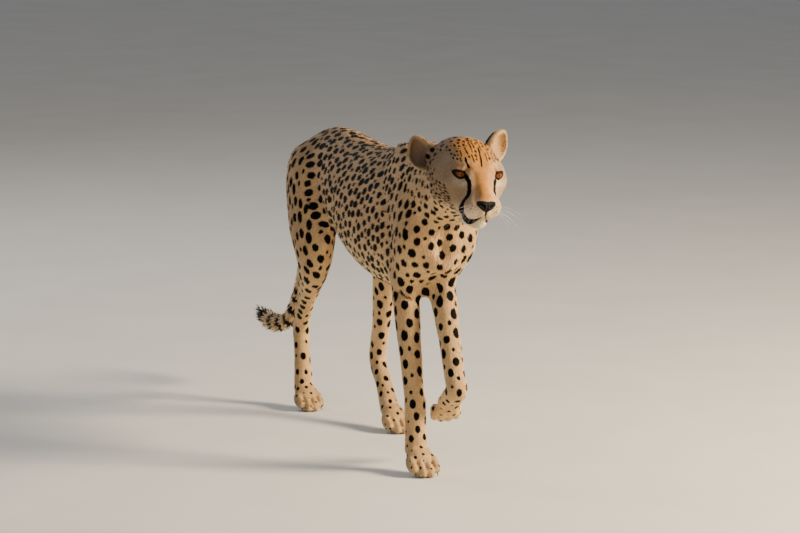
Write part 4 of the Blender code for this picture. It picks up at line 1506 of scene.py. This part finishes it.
def dress(skin):
    """Marks and colours the skin, and grows the coat on it."""
    mesh = skin.data
    points, normals = points_of(mesh), normals_of(mesh)
    faces = [face.vertices[:] for face in mesh.polygons]
    LAID["face"] = face_lines(BVHTree.FromPolygons(points.tolist(), faces))
    shares, found = line_shares(points)
    measures = coat_measures(points, shares, found)
    everywhere = np.ones(len(points))
    lie = evened(mesh, lie_of_coat(points, normals, shares, found), everywhere, 12)
    lie = unit(lie - normals * (lie * normals).sum(1, keepdims=True))
    bare = bare_skin(points, normals)
    LAID["spots"] = place_spots(points, lie, measures, room_for_spots(points))
    tone = evened(mesh, base_tone(points, normals, shares), everywhere, 3)
    numbers(mesh, "mark", all_marks(points, normals) / MM)
    numbers(mesh, "tone", np.concatenate([tone, everywhere[:, None]], 1), "FLOAT_COLOR")
    numbers(mesh, "bare", bare / MM)
    mesh.materials.append(skin_finish())
    mesh.shade_smooth()
    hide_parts(*FLESH)
    grow_coat(skin, measures, lie, tone, bare, coat_finish())


# Place, size, power and colour
LIGHTS = [
    ("key", (3.6, -2.6, 2.3), 1.4, 700, (1.0, 0.83, 0.60)),
    ("fill", (-3.6, -3.2, 2.4), 3.0, 40, (0.72, 0.84, 1.0)),
    ("back", (-1.5, 3.8, 3.4), 3.0, 70, (0.90, 0.94, 1.0)),
]


def set_stage():
    """A pale floor, a pale room and three soft lights."""
    ground = bmesh.new()
    bmesh.ops.create_grid(ground, x_segments=1, y_segments=1, size=14)
    floor = bpy.data.objects.new("floor", mesh_from(ground, "floor"))
    bpy.context.scene.collection.objects.link(floor)
    pale = plain_finish("floor", colour(226, 222, 214), colour(220, 215, 206), 0.8, 3.0, 0.0002)
    floor.data.materials.append(pale)
    world = bpy.data.worlds.new("room")
    bpy.context.scene.world = world
    world.use_nodes = True
    background = world.node_tree.nodes["Background"]
    background.inputs["Color"].default_value = (0.86, 0.91, 1.0, 1)
    background.inputs["Strength"].default_value = 0.26
    for name, place, size, power, tint in LIGHTS:
        lamp = bpy.data.lights.new(name, "AREA")
        lamp.energy, lamp.size, lamp.color = power, size, tint
        light = bpy.data.objects.new(name, lamp)
        light.location = place
        light.rotation_euler = (Vector(place) - Vector((0, -0.2, 0.4))).to_track_quat("Z", "Y").to_euler()
        bpy.context.scene.collection.objects.link(light)


def set_camera():
    """Eighteen degrees to the animal's right of straight ahead, a little above, and far off."""
    turn, lift, away = math.radians(-18), math.radians(8), 9.0
    back = Vector((math.sin(turn) * math.cos(lift), -math.cos(turn) * math.cos(lift), math.sin(lift)))
    lens = bpy.data.cameras.new("camera")
    lens.lens, lens.sensor_width = 184.1, 36
    camera = bpy.data.objects.new("camera", lens)
    camera.location = Vector((-0.0826, -0.4760, 0.4692)) + back * away
    camera.rotation_euler = back.to_track_quat("Z", "Y").to_euler()
    bpy.context.scene.collection.objects.link(camera)
    bpy.context.scene.camera = camera


skin = make_skin()
dress(skin)
eye_material = eye_finish()
lid_material = plain_finish("lids", colour(9, 7, 6), colour(18, 13, 11), 0.6, 900.0, 0.0003, 0.12)
white, cream = colour(240, 234, 222), colour(222, 212, 196)
whisker_material = plain_finish("whisker", white, cream, 0.4, 300.0, 0.0001)
claw_material = plain_finish("claw", colour(92, 76, 62), colour(54, 42, 36), 0.35, 500.0, 0.0002)
for side in (LEFT, RIGHT):
    add_eyeball(side, eye_material)
    add_lids(side, lid_material)
add_whiskers(BVHTree.FromObject(skin, bpy.context.evaluated_depsgraph_get()), whisker_material)
add_claws(claw_material)
set_stage()
set_camera()
